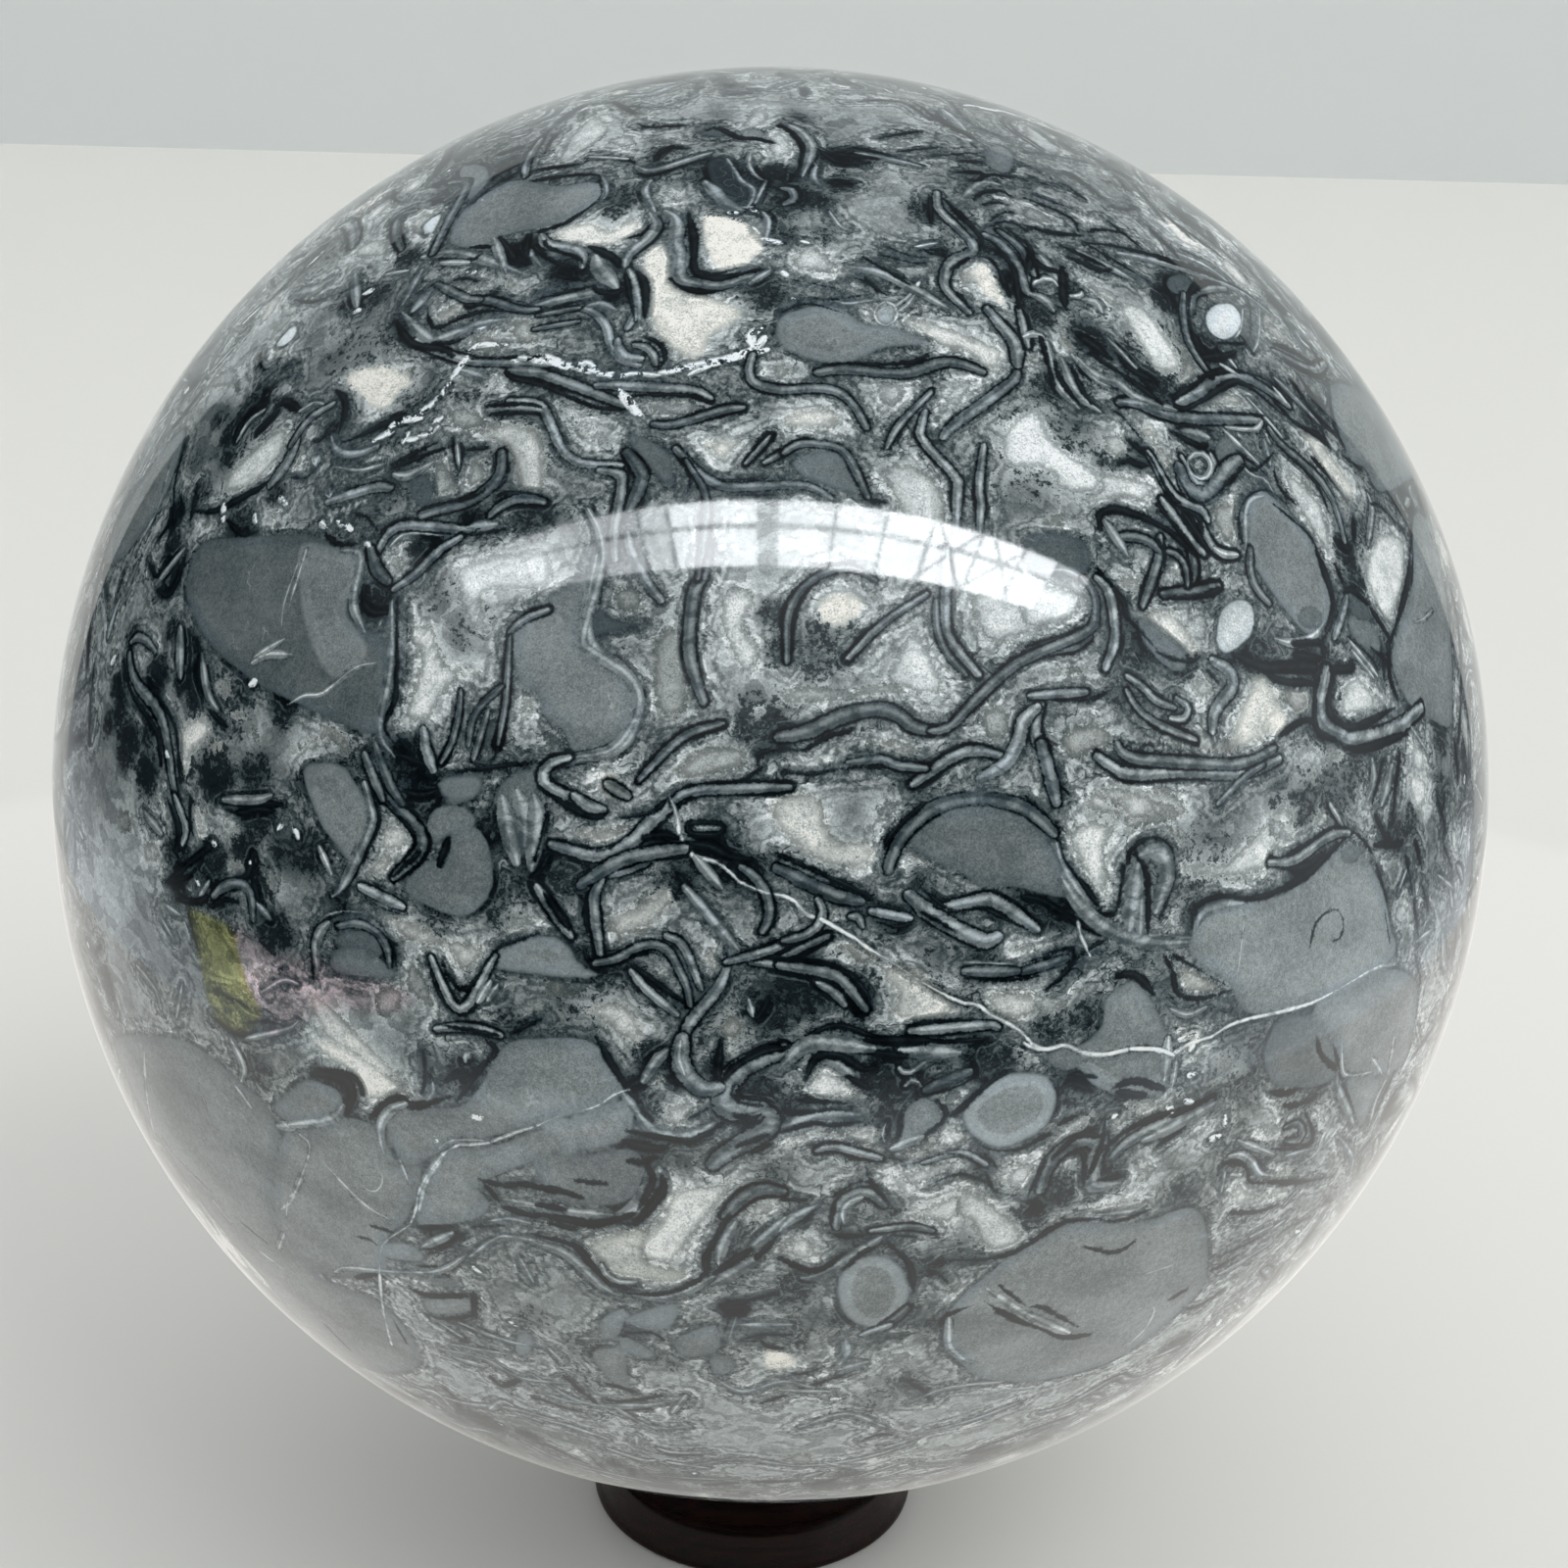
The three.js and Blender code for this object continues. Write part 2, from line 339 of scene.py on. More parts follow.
# Dark seams between the marks, without an edge. Half width in mm, then points.
dark_lines = [
    (24, 476,214,506,188,530,180), (34, 500,186,510,176,530,168), (26, 508,158,534,150),
    (20, 452,250,474,202), (30, 438,188,466,188), (30, 444,206,456,206,466,198), (30, 400,226,406,252),
    (16, 448,264,478,266,490,260), (20, 480,252,504,252), (22, 510,242,530,272),
    (30, 540,240,536,256,542,270), (20, 300,306,318,308,350,298), (20, 444,288,426,304),
    (20, 480,302,500,302,540,310), (18, 462,286,476,284,490,288),
    (26, 545,184,606,178,612,186,614,198,606,208,576,228,550,236), (22, 545,174,590,168),
    (16, 596,162,614,160,648,166), (26, 626,104,646,115,655,116), (20, 650,126,662,130,698,128),
    (14, 548,150,556,138,582,116,596,108,626,104), (12, 556,158,562,144,574,132),
    (12, 640,108,665,110,690,106,705,96), (20, 650,178,670,178,728,160),
    (34, 720,134,730,130,752,140,766,142), (22, 764,140,790,146),
    (22, 690,220,698,232,696,246,700,258,696,270,702,280),
    (46, 702,216,708,246,708,274,720,281,736,284,778,274), (14, 712,276,728,280,758,272),
    (34, 684,284,700,294,718,298,756,290), (50, 672,220,672,234,664,246,644,262),
    (24, 640,244,660,236,666,226), (22, 556,246,562,254,588,262,596,270), (30, 546,252,556,262,584,276),
    (20, 566,268,592,276), (18, 560,280,590,286), (40, 602,252,624,262,632,272),
    (34, 604,292,612,298,626,300,636,296), (30, 638,278,648,330), (44, 650,276,658,292,658,326),
    (22, 545,306,600,293), (20, 545,318,590,308), (24, 668,164,674,156,686,150,700,152),
    (40, 795,128,808,134,818,145,820,158,812,182), (30, 834,154,824,182), (30, 834,152,856,166,890,166),
    (34, 850,157,896,162), (30, 868,150,914,160), (24, 845,186,870,188), (16, 866,104,918,104,950,122),
    (16, 932,104,966,128,994,140), (16, 955,112,964,124,1010,152), (14, 970,104,990,126,1032,144),
    (20, 892,142,938,134), (14, 910,156,962,150), (14, 948,160,1000,156), (30, 978,164,1004,166),
    (24, 974,176,1002,176), (20, 985,184,998,184,1010,178,1045,183),
    (22, 992,204,1004,196,1018,194,1032,200), (20, 1002,210,1016,206,1028,210),
    (24, 1010,226,1020,218,1034,216), (20, 1010,232,1022,226,1036,228,1048,236),
    (34, 962,202,1000,242,1000,254), (20, 948,198,950,228),
    (34, 1000,244,1012,246,1030,268,1036,282,1040,316), (26, 1026,232,1048,250),
    (24, 1000,262,1010,264,1018,274,1030,302), (24, 970,276,990,262), (20, 976,298,994,318),
    (22, 940,256,966,262), (20, 900,250,932,262,946,262), (18, 898,260,930,268,946,268),
    (20, 880,262,928,290), (16, 860,284,878,285,906,302), (14, 800,284,862,296),
    (20, 796,320,810,313,828,310,862,320), (16, 830,304,848,306,890,300), (24, 882,282,898,300),
    (18, 936,255,962,255), (20, 1045,155,1118,168), (20, 1045,168,1090,180), (20, 1090,176,1130,206),
    (20, 1045,196,1096,214), (26, 1045,202,1092,222,1100,236), (28, 1045,230,1076,238,1104,240),
    (20, 1108,238,1120,234,1148,238), (20, 1050,180,1066,188,1080,190),
    (28, 1105,248,1142,252,1232,280,1264,294,1292,314), (26, 1180,264,1248,284), (20, 1080,250,1128,272),
    (24, 1090,262,1122,276,1136,274), (22, 1110,250,1188,298), (20, 1204,254,1240,272,1262,292),
    (20, 1170,230,1202,262), (20, 1152,184,1188,226), (18, 1176,208,1216,244), (18, 1200,228,1246,262),
    (14, 1225,238,1268,275), (20, 1130,210,1146,214,1160,212), (18, 1125,222,1166,254),
    (18, 1068,172,1106,204), (34, 1212,312,1214,300,1222,292,1234,288,1246,290),
    (20, 1270,300,1276,312,1276,325), (34, 1084,272,1084,300,1088,316), (30, 1052,260,1062,272,1088,280),
    (34, 1046,245,1052,256,1048,280), (30, 266,360,266,372,272,377,287,366), (26, 264,394,282,378,304,370),
    (20, 270,400,290,386,304,385), (50, 282,416,290,410,306,418), (26, 240,448,252,424,272,410),
    (24, 262,442,286,418), (34, 200,522,224,520,268,496,286,482), (26, 202,494,194,534),
    (30, 190,450,178,496,178,530,174,545), (20, 182,500,186,515,184,530), (24, 158,556,176,530),
    (20, 138,560,164,520), (20, 106,570,124,520,138,494), (14, 140,500,158,470),
    (20, 232,530,240,540,252,546,262,542), (22, 436,312,438,328,448,334,492,318,555,321),
    (16, 440,350,465,349,485,338), (34, 402,325,420,350,450,356,462,363), (16, 480,366,555,364),
    (26, 516,379,521,385,555,394), (18, 497,414,535,412,555,416), (18, 500,423,540,421,555,425),
    (40, 342,398,350,405,352,420,344,446), (34, 346,446,355,450,412,424),
    (14, 336,440,337,455,342,464,352,466), (30, 320,452,330,448,335,436), (20, 296,487,310,488,320,482),
    (14, 335,505,375,494,398,492), (16, 400,474,445,452), (18, 400,478,460,455), (22, 462,446,468,484),
    (18, 468,448,473,462,468,486), (20, 475,459,498,457), (22, 495,498,485,506,428,520),
    (18, 520,470,516,490,505,502), (20, 555,505,520,502,505,508), (22, 384,550,394,538,410,530,428,528),
    (16, 478,547,515,540), (24, 472,525,478,535,484,524), (14, 358,522,375,528,385,542),
    (18, 332,545,345,555,365,555), (20, 545,389,600,413,632,418), (16, 640,404,700,403,727,412),
    (22, 700,461,715,477,735,489,805,488), (25, 660,345,675,352,678,370,668,378),
    (25, 659,482,657,505,650,519), (20, 840,373,920,371,948,363), (20, 700,475,705,490,700,505),
    (18, 748,505,800,505), (25, 875,500,885,510,905,512), (22, 1215,300,1213,320,1217,340,1232,366),
    (18, 1198,300,1208,350), (24, 1275,310,1276,335,1270,350,1240,350), (36, 1228,365,1255,362,1262,358),
    (30, 1198,406,1226,388), (34, 1200,415,1215,416,1256,391,1272,393,1312,426),
    (24, 1222,386,1252,378,1284,384,1300,392), (14, 1222,421,1290,424), (22, 1098,372,1110,384,1140,397),
    (26, 1115,362,1186,412), (34, 1140,362,1152,376,1180,390), (40, 1100,342,1134,366),
    (20, 1062,345,1076,398), (18, 1076,368,1082,388,1106,418), (18, 1092,372,1108,405,1122,416),
    (30, 1196,440,1222,455,1234,454), (18, 1200,438,1212,434,1238,440),
    (26, 1200,484,1216,510,1228,513,1240,506,1268,476), (22, 1166,458,1176,470,1192,502,1204,514),
    (22, 1180,514,1220,564), (24, 1206,522,1232,560), (28, 1204,520,1218,524,1226,534,1226,546),
    (18, 1215,524,1224,552), (24, 1268,555,1264,535,1266,518,1274,506,1286,500,1298,502,1310,512),
    (34, 1123,540,1122,526,1132,520,1146,521,1190,540,1218,566), (22, 1180,548,1190,570),
    (30, 1140,474,1152,470,1162,476,1172,474), (24, 1150,448,1168,464), (18, 1134,418,1146,426,1166,450),
    (20, 1268,474,1280,480,1300,462), (16, 1262,460,1290,482), (34, 1296,350,1316,357,1340,372),
    (30, 1312,370,1350,388), (14, 1318,330,1340,358,1346,372), (14, 1308,322,1326,350),
    (34, 1296,405,1320,430,1348,446,1356,456), (24, 1318,388,1338,418,1362,442),
    (18, 1326,384,1346,416,1358,426), (20, 1356,392,1360,430,1374,460), (18, 1370,465,1390,480),
    (20, 1300,452,1342,492,1356,524), (22, 1340,468,1378,516), (22, 1362,545,1368,556,1378,560),
    (30, 1381,528,1381,552), (24, 1296,512,1332,542,1342,556,1346,572),
    (20, 1300,474,1302,490,1310,504,1322,514), (22, 1398,514,1410,518,1438,550), (20, 1418,505,1434,528),
    (22, 1440,535,1439,570), (18, 1450,520,1468,570), (40, 108,562,98,600,89,680), (20, 96,680,91,758),
    (16, 150,570,160,588,172,570), (34, 160,602,170,608,180,596,190,565),
    (34, 126,672,134,706,160,748,164,784), (34, 150,696,178,740,184,800),
    (34, 200,650,204,666,202,684,212,716), (22, 210,722,232,742), (24, 128,580,116,620),
    (34, 406,606,404,705,392,740,405,762), (15, 416,620,415,690), (30, 372,596,370,610,378,625,395,625),
    (14, 515,735,510,760,500,780), (20, 462,788,550,777), (30, 405,770,432,780), (20, 405,750,422,770),
    (28, 448,805,430,810,410,806), (12, 618,570,612,620), (12, 657,705,653,730,642,755,622,770,575,784),
    (17, 685,811,700,804,745,803,776,785), (14, 775,784,772,770,785,766,806,768),
    (15, 795,745,830,740,900,718,920,722,935,736,955,741,975,732,1035,672,1058,659),
    (18, 795,763,820,765,845,752,870,745), (15, 861,782,865,770,890,767,920,778,957,779),
    (20, 800,787,830,790,860,784,900,783,935,788), (22, 1045,660,1085,650,1100,642),
    (30, 1120,580,1130,598,1145,612,1150,630), (22, 1148,628,1180,662),
    (30, 1180,665,1195,672,1215,675,1225,670), (20, 1160,650,1168,672), (22, 1188,555,1188,582),
    (16, 1187,611,1225,608,1245,600), (20, 1230,680,1246,702), (16, 1080,780,1082,800,1093,812),
    (16, 1045,715,1110,714,1130,706), (20, 1228,672,1265,676), (45, 1258,668,1285,680,1305,683),
    (46, 1343,560,1360,615,1352,644), (22, 1366,605,1360,635,1348,655), (34, 1370,605,1380,603,1396,616),
    (20, 1362,575,1372,600), (34, 1398,620,1420,655), (40, 1438,560,1438,580,1430,620,1418,656),
    (24, 1442,560,1440,598), (30, 1418,660,1418,690,1428,720), (20, 1412,670,1412,698),
    (16, 1376,650,1400,672,1406,684), (20, 1398,660,1416,676), (30, 1320,656,1346,655,1352,662,1350,672),
    (18, 1320,668,1350,672), (50, 1296,682,1342,681), (34, 1296,690,1312,696,1342,697),
    (40, 1358,684,1380,682,1380,676), (34, 1342,690,1342,738,1352,750,1374,760),
    (44, 1362,688,1355,716,1358,730,1368,738,1382,742,1424,722), (34, 1374,762,1390,764,1436,748),
    (24, 1306,752,1320,740,1336,734,1342,740), (24, 1428,770,1422,820), (20, 1412,772,1400,820),
    (22, 1484,755,1488,796), (20, 1472,570,1488,640,1491,700,1488,755),
    (34, 170,812,180,840,182,854,178,866), (30, 194,812,194,840,198,854), (40, 216,860,172,900),
    (30, 188,886,216,864), (30, 168,900,190,896,200,886), (26, 222,820,254,818,290,822),
    (20, 230,826,246,830,262,826,280,828), (44, 232,898,250,896,256,886,258,872), (34, 256,892,264,920),
    (30, 180,918,204,920,212,914), (14, 212,926,232,918,244,922), (24, 192,930,202,968),
    (20, 220,1010,256,1030), (20, 218,1038,238,1054,250,1056,262,1052), (14, 252,1044,270,1042,288,1046),
    (24, 375,805,384,825,384,848,350,914), (16, 396,818,422,850), (18, 372,915,390,927,408,932),
    (18, 320,1000,318,975,322,950,340,935,360,933,380,937,393,950,402,970,405,992),
    (15, 437,978,442,1000,452,1022,462,1033), (16, 450,980,460,1000,475,1010,493,990),
    (24, 452,1046,510,1057), (26, 522,1055,556,1037), (22, 495,982,510,967,550,952), (26, 448,884,458,855),
    (15, 400,895,428,870), (20, 560,870,550,890,540,895), (25, 565,815,598,832,615,834,622,825),
    (10, 572,857,610,867,630,862), (16, 612,897,600,912,597,935,600,955), (18, 610,987,660,972,675,975),
    (18, 596,965,598,978,606,984), (30, 556,912,580,948), (30, 645,985,700,1025), (18, 560,830,545,880),
    (30, 655,855,675,852,690,855), (30, 700,860,725,865,745,875,770,878), (25, 690,890,700,905,690,912),
    (25, 755,880,780,905), (17, 702,838,702,850,735,851,738,840,705,838), (22, 632,835,668,828,680,815),
    (16, 768,1012,762,1030,770,1040,780,1030,785,1015), (20, 735,975,742,970,740,985),
    (18, 902,868,910,850,945,818), (24, 790,870,878,910,892,921), (20, 893,922,930,932),
    (20, 893,940,915,946,930,942), (18, 938,930,975,950), (18, 935,902,965,926,985,932),
    (20, 985,932,1000,926,1050,950), (20, 985,998,1040,999,1065,995), (20, 1040,984,1080,972),
    (28, 850,985,870,998,885,1015,890,1030), (28, 835,1000,855,1010,880,1040),
    (22, 795,1072,815,1065,835,1052,860,1047,900,1061,930,1064,1010,1060),
    (16, 925,1047,950,1042,1000,1040), (18, 942,1004,988,1027), (20, 1045,812,1072,836),
    (26, 1078,840,1080,860,1088,880,1122,925), (26, 1158,870,1170,893,1171,957),
    (20, 1150,880,1154,868,1165,858,1180,854,1193,862,1198,872), (14, 1146,885,1141,925,1132,935,1118,928),
    (10, 1198,875,1198,900,1182,940),
    (32, 1216,948,1218,930,1228,920,1245,916,1278,917,1312,905,1347,880,1376,852),
    (30, 1045,915,1065,920,1100,942,1138,958), (24, 1100,975,1130,958), (20, 1075,1005,1102,975),
    (26, 1067,1010,1085,995,1095,980,1093,968,1060,975), (30, 1137,998,1150,994,1163,998,1178,1016),
    (14, 1188,975,1196,990,1200,1010,1210,1018,1230,1018,1258,1010), (12, 1198,975,1256,1008),
    (40, 1296,912,1332,894,1366,860), (34, 1296,874,1308,876,1356,848,1370,844),
    (36, 1308,886,1334,884,1354,866), (22, 1354,820,1360,832,1376,848), (16, 1376,848,1386,852,1400,870),
    (28, 1404,882,1416,922), (20, 1402,830,1414,856), (26, 1402,862,1430,862), (24, 1424,812,1420,838),
    (34, 1444,858,1450,882), (30, 1434,872,1442,916), (24, 1466,812,1476,852), (22, 1474,812,1470,838),
    (20, 1472,860,1482,888), (14, 1440,905,1448,965), (12, 1450,900,1460,940), (18, 1444,975,1450,1004),
    (12, 1412,924,1418,964), (10, 1336,968,1344,940,1361,928,1369,934,1371,946,1368,957,1360,960),
    (14, 166,1160,176,1176,216,1216), (12, 240,1242,272,1268), (30, 376,1142,408,1118,416,1126),
    (34, 406,1118,414,1126,428,1128,462,1118), (34, 432,1070,434,1100,430,1116),
    (26, 444,1112,462,1100,486,1096), (30, 466,1124,500,1078), (26, 496,1062,506,1070,500,1082),
    (44, 318,1096,348,1100,358,1112,354,1138), (20, 322,1090,354,1096,366,1104,370,1116),
    (14, 392,1284,428,1292,446,1292), (20, 364,1304,380,1300,392,1302), (30, 376,1250,402,1258),
    (24, 362,1262,376,1264,386,1272), (30, 424,1252,452,1252), (30, 428,1276,476,1258),
    (16, 480,1252,520,1250), (30, 490,1204,516,1210,534,1208,566,1216), (24, 494,1208,510,1226),
    (34, 512,1232,540,1240,556,1240), (44, 608,1058,640,1112), (30, 638,1112,650,1134),
    (34, 640,1110,652,1104,666,1084,678,1080), (34, 684,1084,690,1098,700,1108,714,1114,728,1112),
    (30, 736,1060,732,1094,734,1106,728,1118), (36, 795,1070,780,1072,750,1088,736,1106),
    (20, 752,1104,746,1114,752,1124,778,1128), (20, 750,1138,774,1144,764,1150), (30, 750,1170,784,1158),
    (22, 764,1178,788,1166), (26, 640,1154,698,1164,714,1160,736,1148), (18, 702,1142,728,1128),
    (30, 636,1164,664,1172,678,1170), (20, 640,1184,656,1186,670,1180), (24, 660,1190,666,1204,652,1234),
    (34, 675,1200,676,1214,648,1250), (30, 545,1238,598,1248,616,1248,648,1238),
    (26, 545,1212,562,1212,594,1222), (26, 547,1230,576,1234), (16, 584,1204,618,1208),
    (20, 560,1248,586,1254), (24, 545,1260,578,1268,592,1276,618,1308,646,1316),
    (20, 640,1320,680,1320,716,1304,722,1292), (30, 722,1302,720,1288,724,1274,746,1236),
    (24, 728,1300,768,1274), (20, 772,1284,796,1258),
    (34, 822,1102,832,1080,844,1076,858,1078,882,1092,892,1090), (34, 864,1098,888,1112),
    (26, 878,1072,924,1078), (40, 882,1062,945,1062), (20, 812,1122,864,1126),
    (26, 800,1132,816,1136,850,1132,868,1134), (26, 796,1156,830,1146,848,1148,884,1144),
    (24, 956,1122,966,1136,960,1146,940,1162), (28, 944,1118,984,1106,992,1096,990,1088),
    (38, 970,1140,1008,1106,1024,1098), (20, 994,1160,1004,1170,1020,1174,1040,1172,1055,1166),
    (14, 828,1176,838,1168,856,1166,874,1168,890,1176),
    (20, 898,1182,914,1182,930,1188,960,1178,976,1178,990,1182,1000,1192),
    (24, 1000,1180,1012,1184,1018,1194), (26, 1006,1196,1016,1216,1046,1220),
    (20, 944,1212,968,1200,984,1198,1006,1206), (22, 884,1190,888,1204,914,1236),
    (20, 852,1220,874,1206,886,1206,896,1214), (24, 848,1250,852,1226), (20, 795,1224,828,1224),
    (20, 820,1250,826,1238,838,1232), (20, 846,1258,864,1262,882,1260), (20, 908,1260,936,1262),
    (34, 795,1284,824,1296,840,1294,862,1278), (20, 860,1296,880,1278,896,1272),
    (34, 906,1268,928,1290,932,1318), (26, 960,1286,1022,1282,1062,1262), (24, 946,1296,958,1300,968,1310),
    (30, 1045,1172,1064,1160,1076,1158), (34, 1074,1182,1092,1164,1104,1158,1128,1160),
    (30, 1056,1222,1062,1234,1050,1238), (34, 1068,1182,1048,1222),
    (20, 1092,1178,1100,1174,1106,1180,1106,1210), (30, 1128,1140,1124,1168,1110,1202),
    (20, 1122,1204,1148,1200), (20, 1128,1196,1126,1182,1132,1168,1130,1154),
    (26, 1126,1174,1140,1160,1168,1144,1200,1132), (36, 1194,1140,1242,1116), (20, 1184,1156,1214,1140),
    (24, 1180,1170,1212,1146), (26, 1136,1110,1150,1104,1166,1104,1188,1112), (30, 1140,1114,1168,1118),
    (30, 1096,1096,1120,1100), (20, 1092,1104,1116,1114), (20, 1078,1148,1100,1138),
    (20, 1046,1272,1076,1252,1092,1246,1126,1243), (16, 1122,1244,1140,1246,1174,1234),
    (24, 1106,1272,1134,1278,1148,1274,1158,1266), (16, 1250,1186,1262,1186,1272,1192,1276,1206,1300,1206),
    (20, 1268,1178,1292,1190), (14, 1200,1208,1204,1218,1214,1222,1220,1214,1214,1204),
    (16, 1256,1238,1286,1236,1302,1230), (14, 1244,1282,1290,1260), (14, 1236,1296,1268,1278),
    (30, 1344,1060,1348,1076,1364,1092), (20, 1360,1066,1368,1092), (20, 1366,1096,1382,1138),
    (16, 1424,1090,1404,1134), (26, 1296,1114,1310,1116,1322,1112), (24, 1310,1128,1322,1128,1342,1120),
    (20, 1330,1130,1340,1158,1334,1168,1306,1168), (20, 1296,1172,1328,1172,1342,1164),
    (20, 1300,1206,1328,1206,1360,1200), (14, 1300,1266,1312,1254,1340,1240),
    (30, 420,1316,438,1322,474,1322), (20, 436,1342,452,1346,484,1342), (20, 484,1320,484,1344),
    (16, 500,1404,512,1414,538,1404), (26, 330,1350,360,1380), (20, 400,1344,416,1372),
    (22, 448,1414,460,1422,468,1434,468,1444), (20, 500,1464,522,1478), (24, 732,1334,790,1320),
    (34, 738,1336,762,1334), (18, 738,1362,748,1336), (16, 760,1366,774,1362,806,1362),
    (22, 774,1366,784,1374,798,1376), (20, 640,1360,666,1360,678,1368), (20, 576,1404,598,1424),
    (20, 620,1412,648,1420), (20, 776,1432,800,1424), (20, 618,1428,636,1430,676,1424),
    (16, 600,1424,616,1436,665,1438), (14, 545,1426,605,1444), (12, 680,1484,712,1484),
    (20, 545,1472,562,1476,600,1494), (16, 545,1486,580,1500), (14, 880,1372,924,1362),
    (22, 960,1350,970,1340,992,1332), (26, 1004,1328,1032,1344,1060,1354), (22, 1020,1312,1046,1332),
    (14, 820,1416,874,1398), (14, 800,1400,820,1402,836,1396), (26, 922,1408,944,1420,948,1430),
    (14, 880,1470,896,1464,912,1464), (26, 1045,1350,1058,1352,1084,1364,1112,1362),
    (22, 1050,1334,1064,1334,1100,1354), (18, 1218,1382,1258,1348), (20, 1206,1334,1220,1334,1246,1318),
    (24, 1190,1328,1210,1316),
]
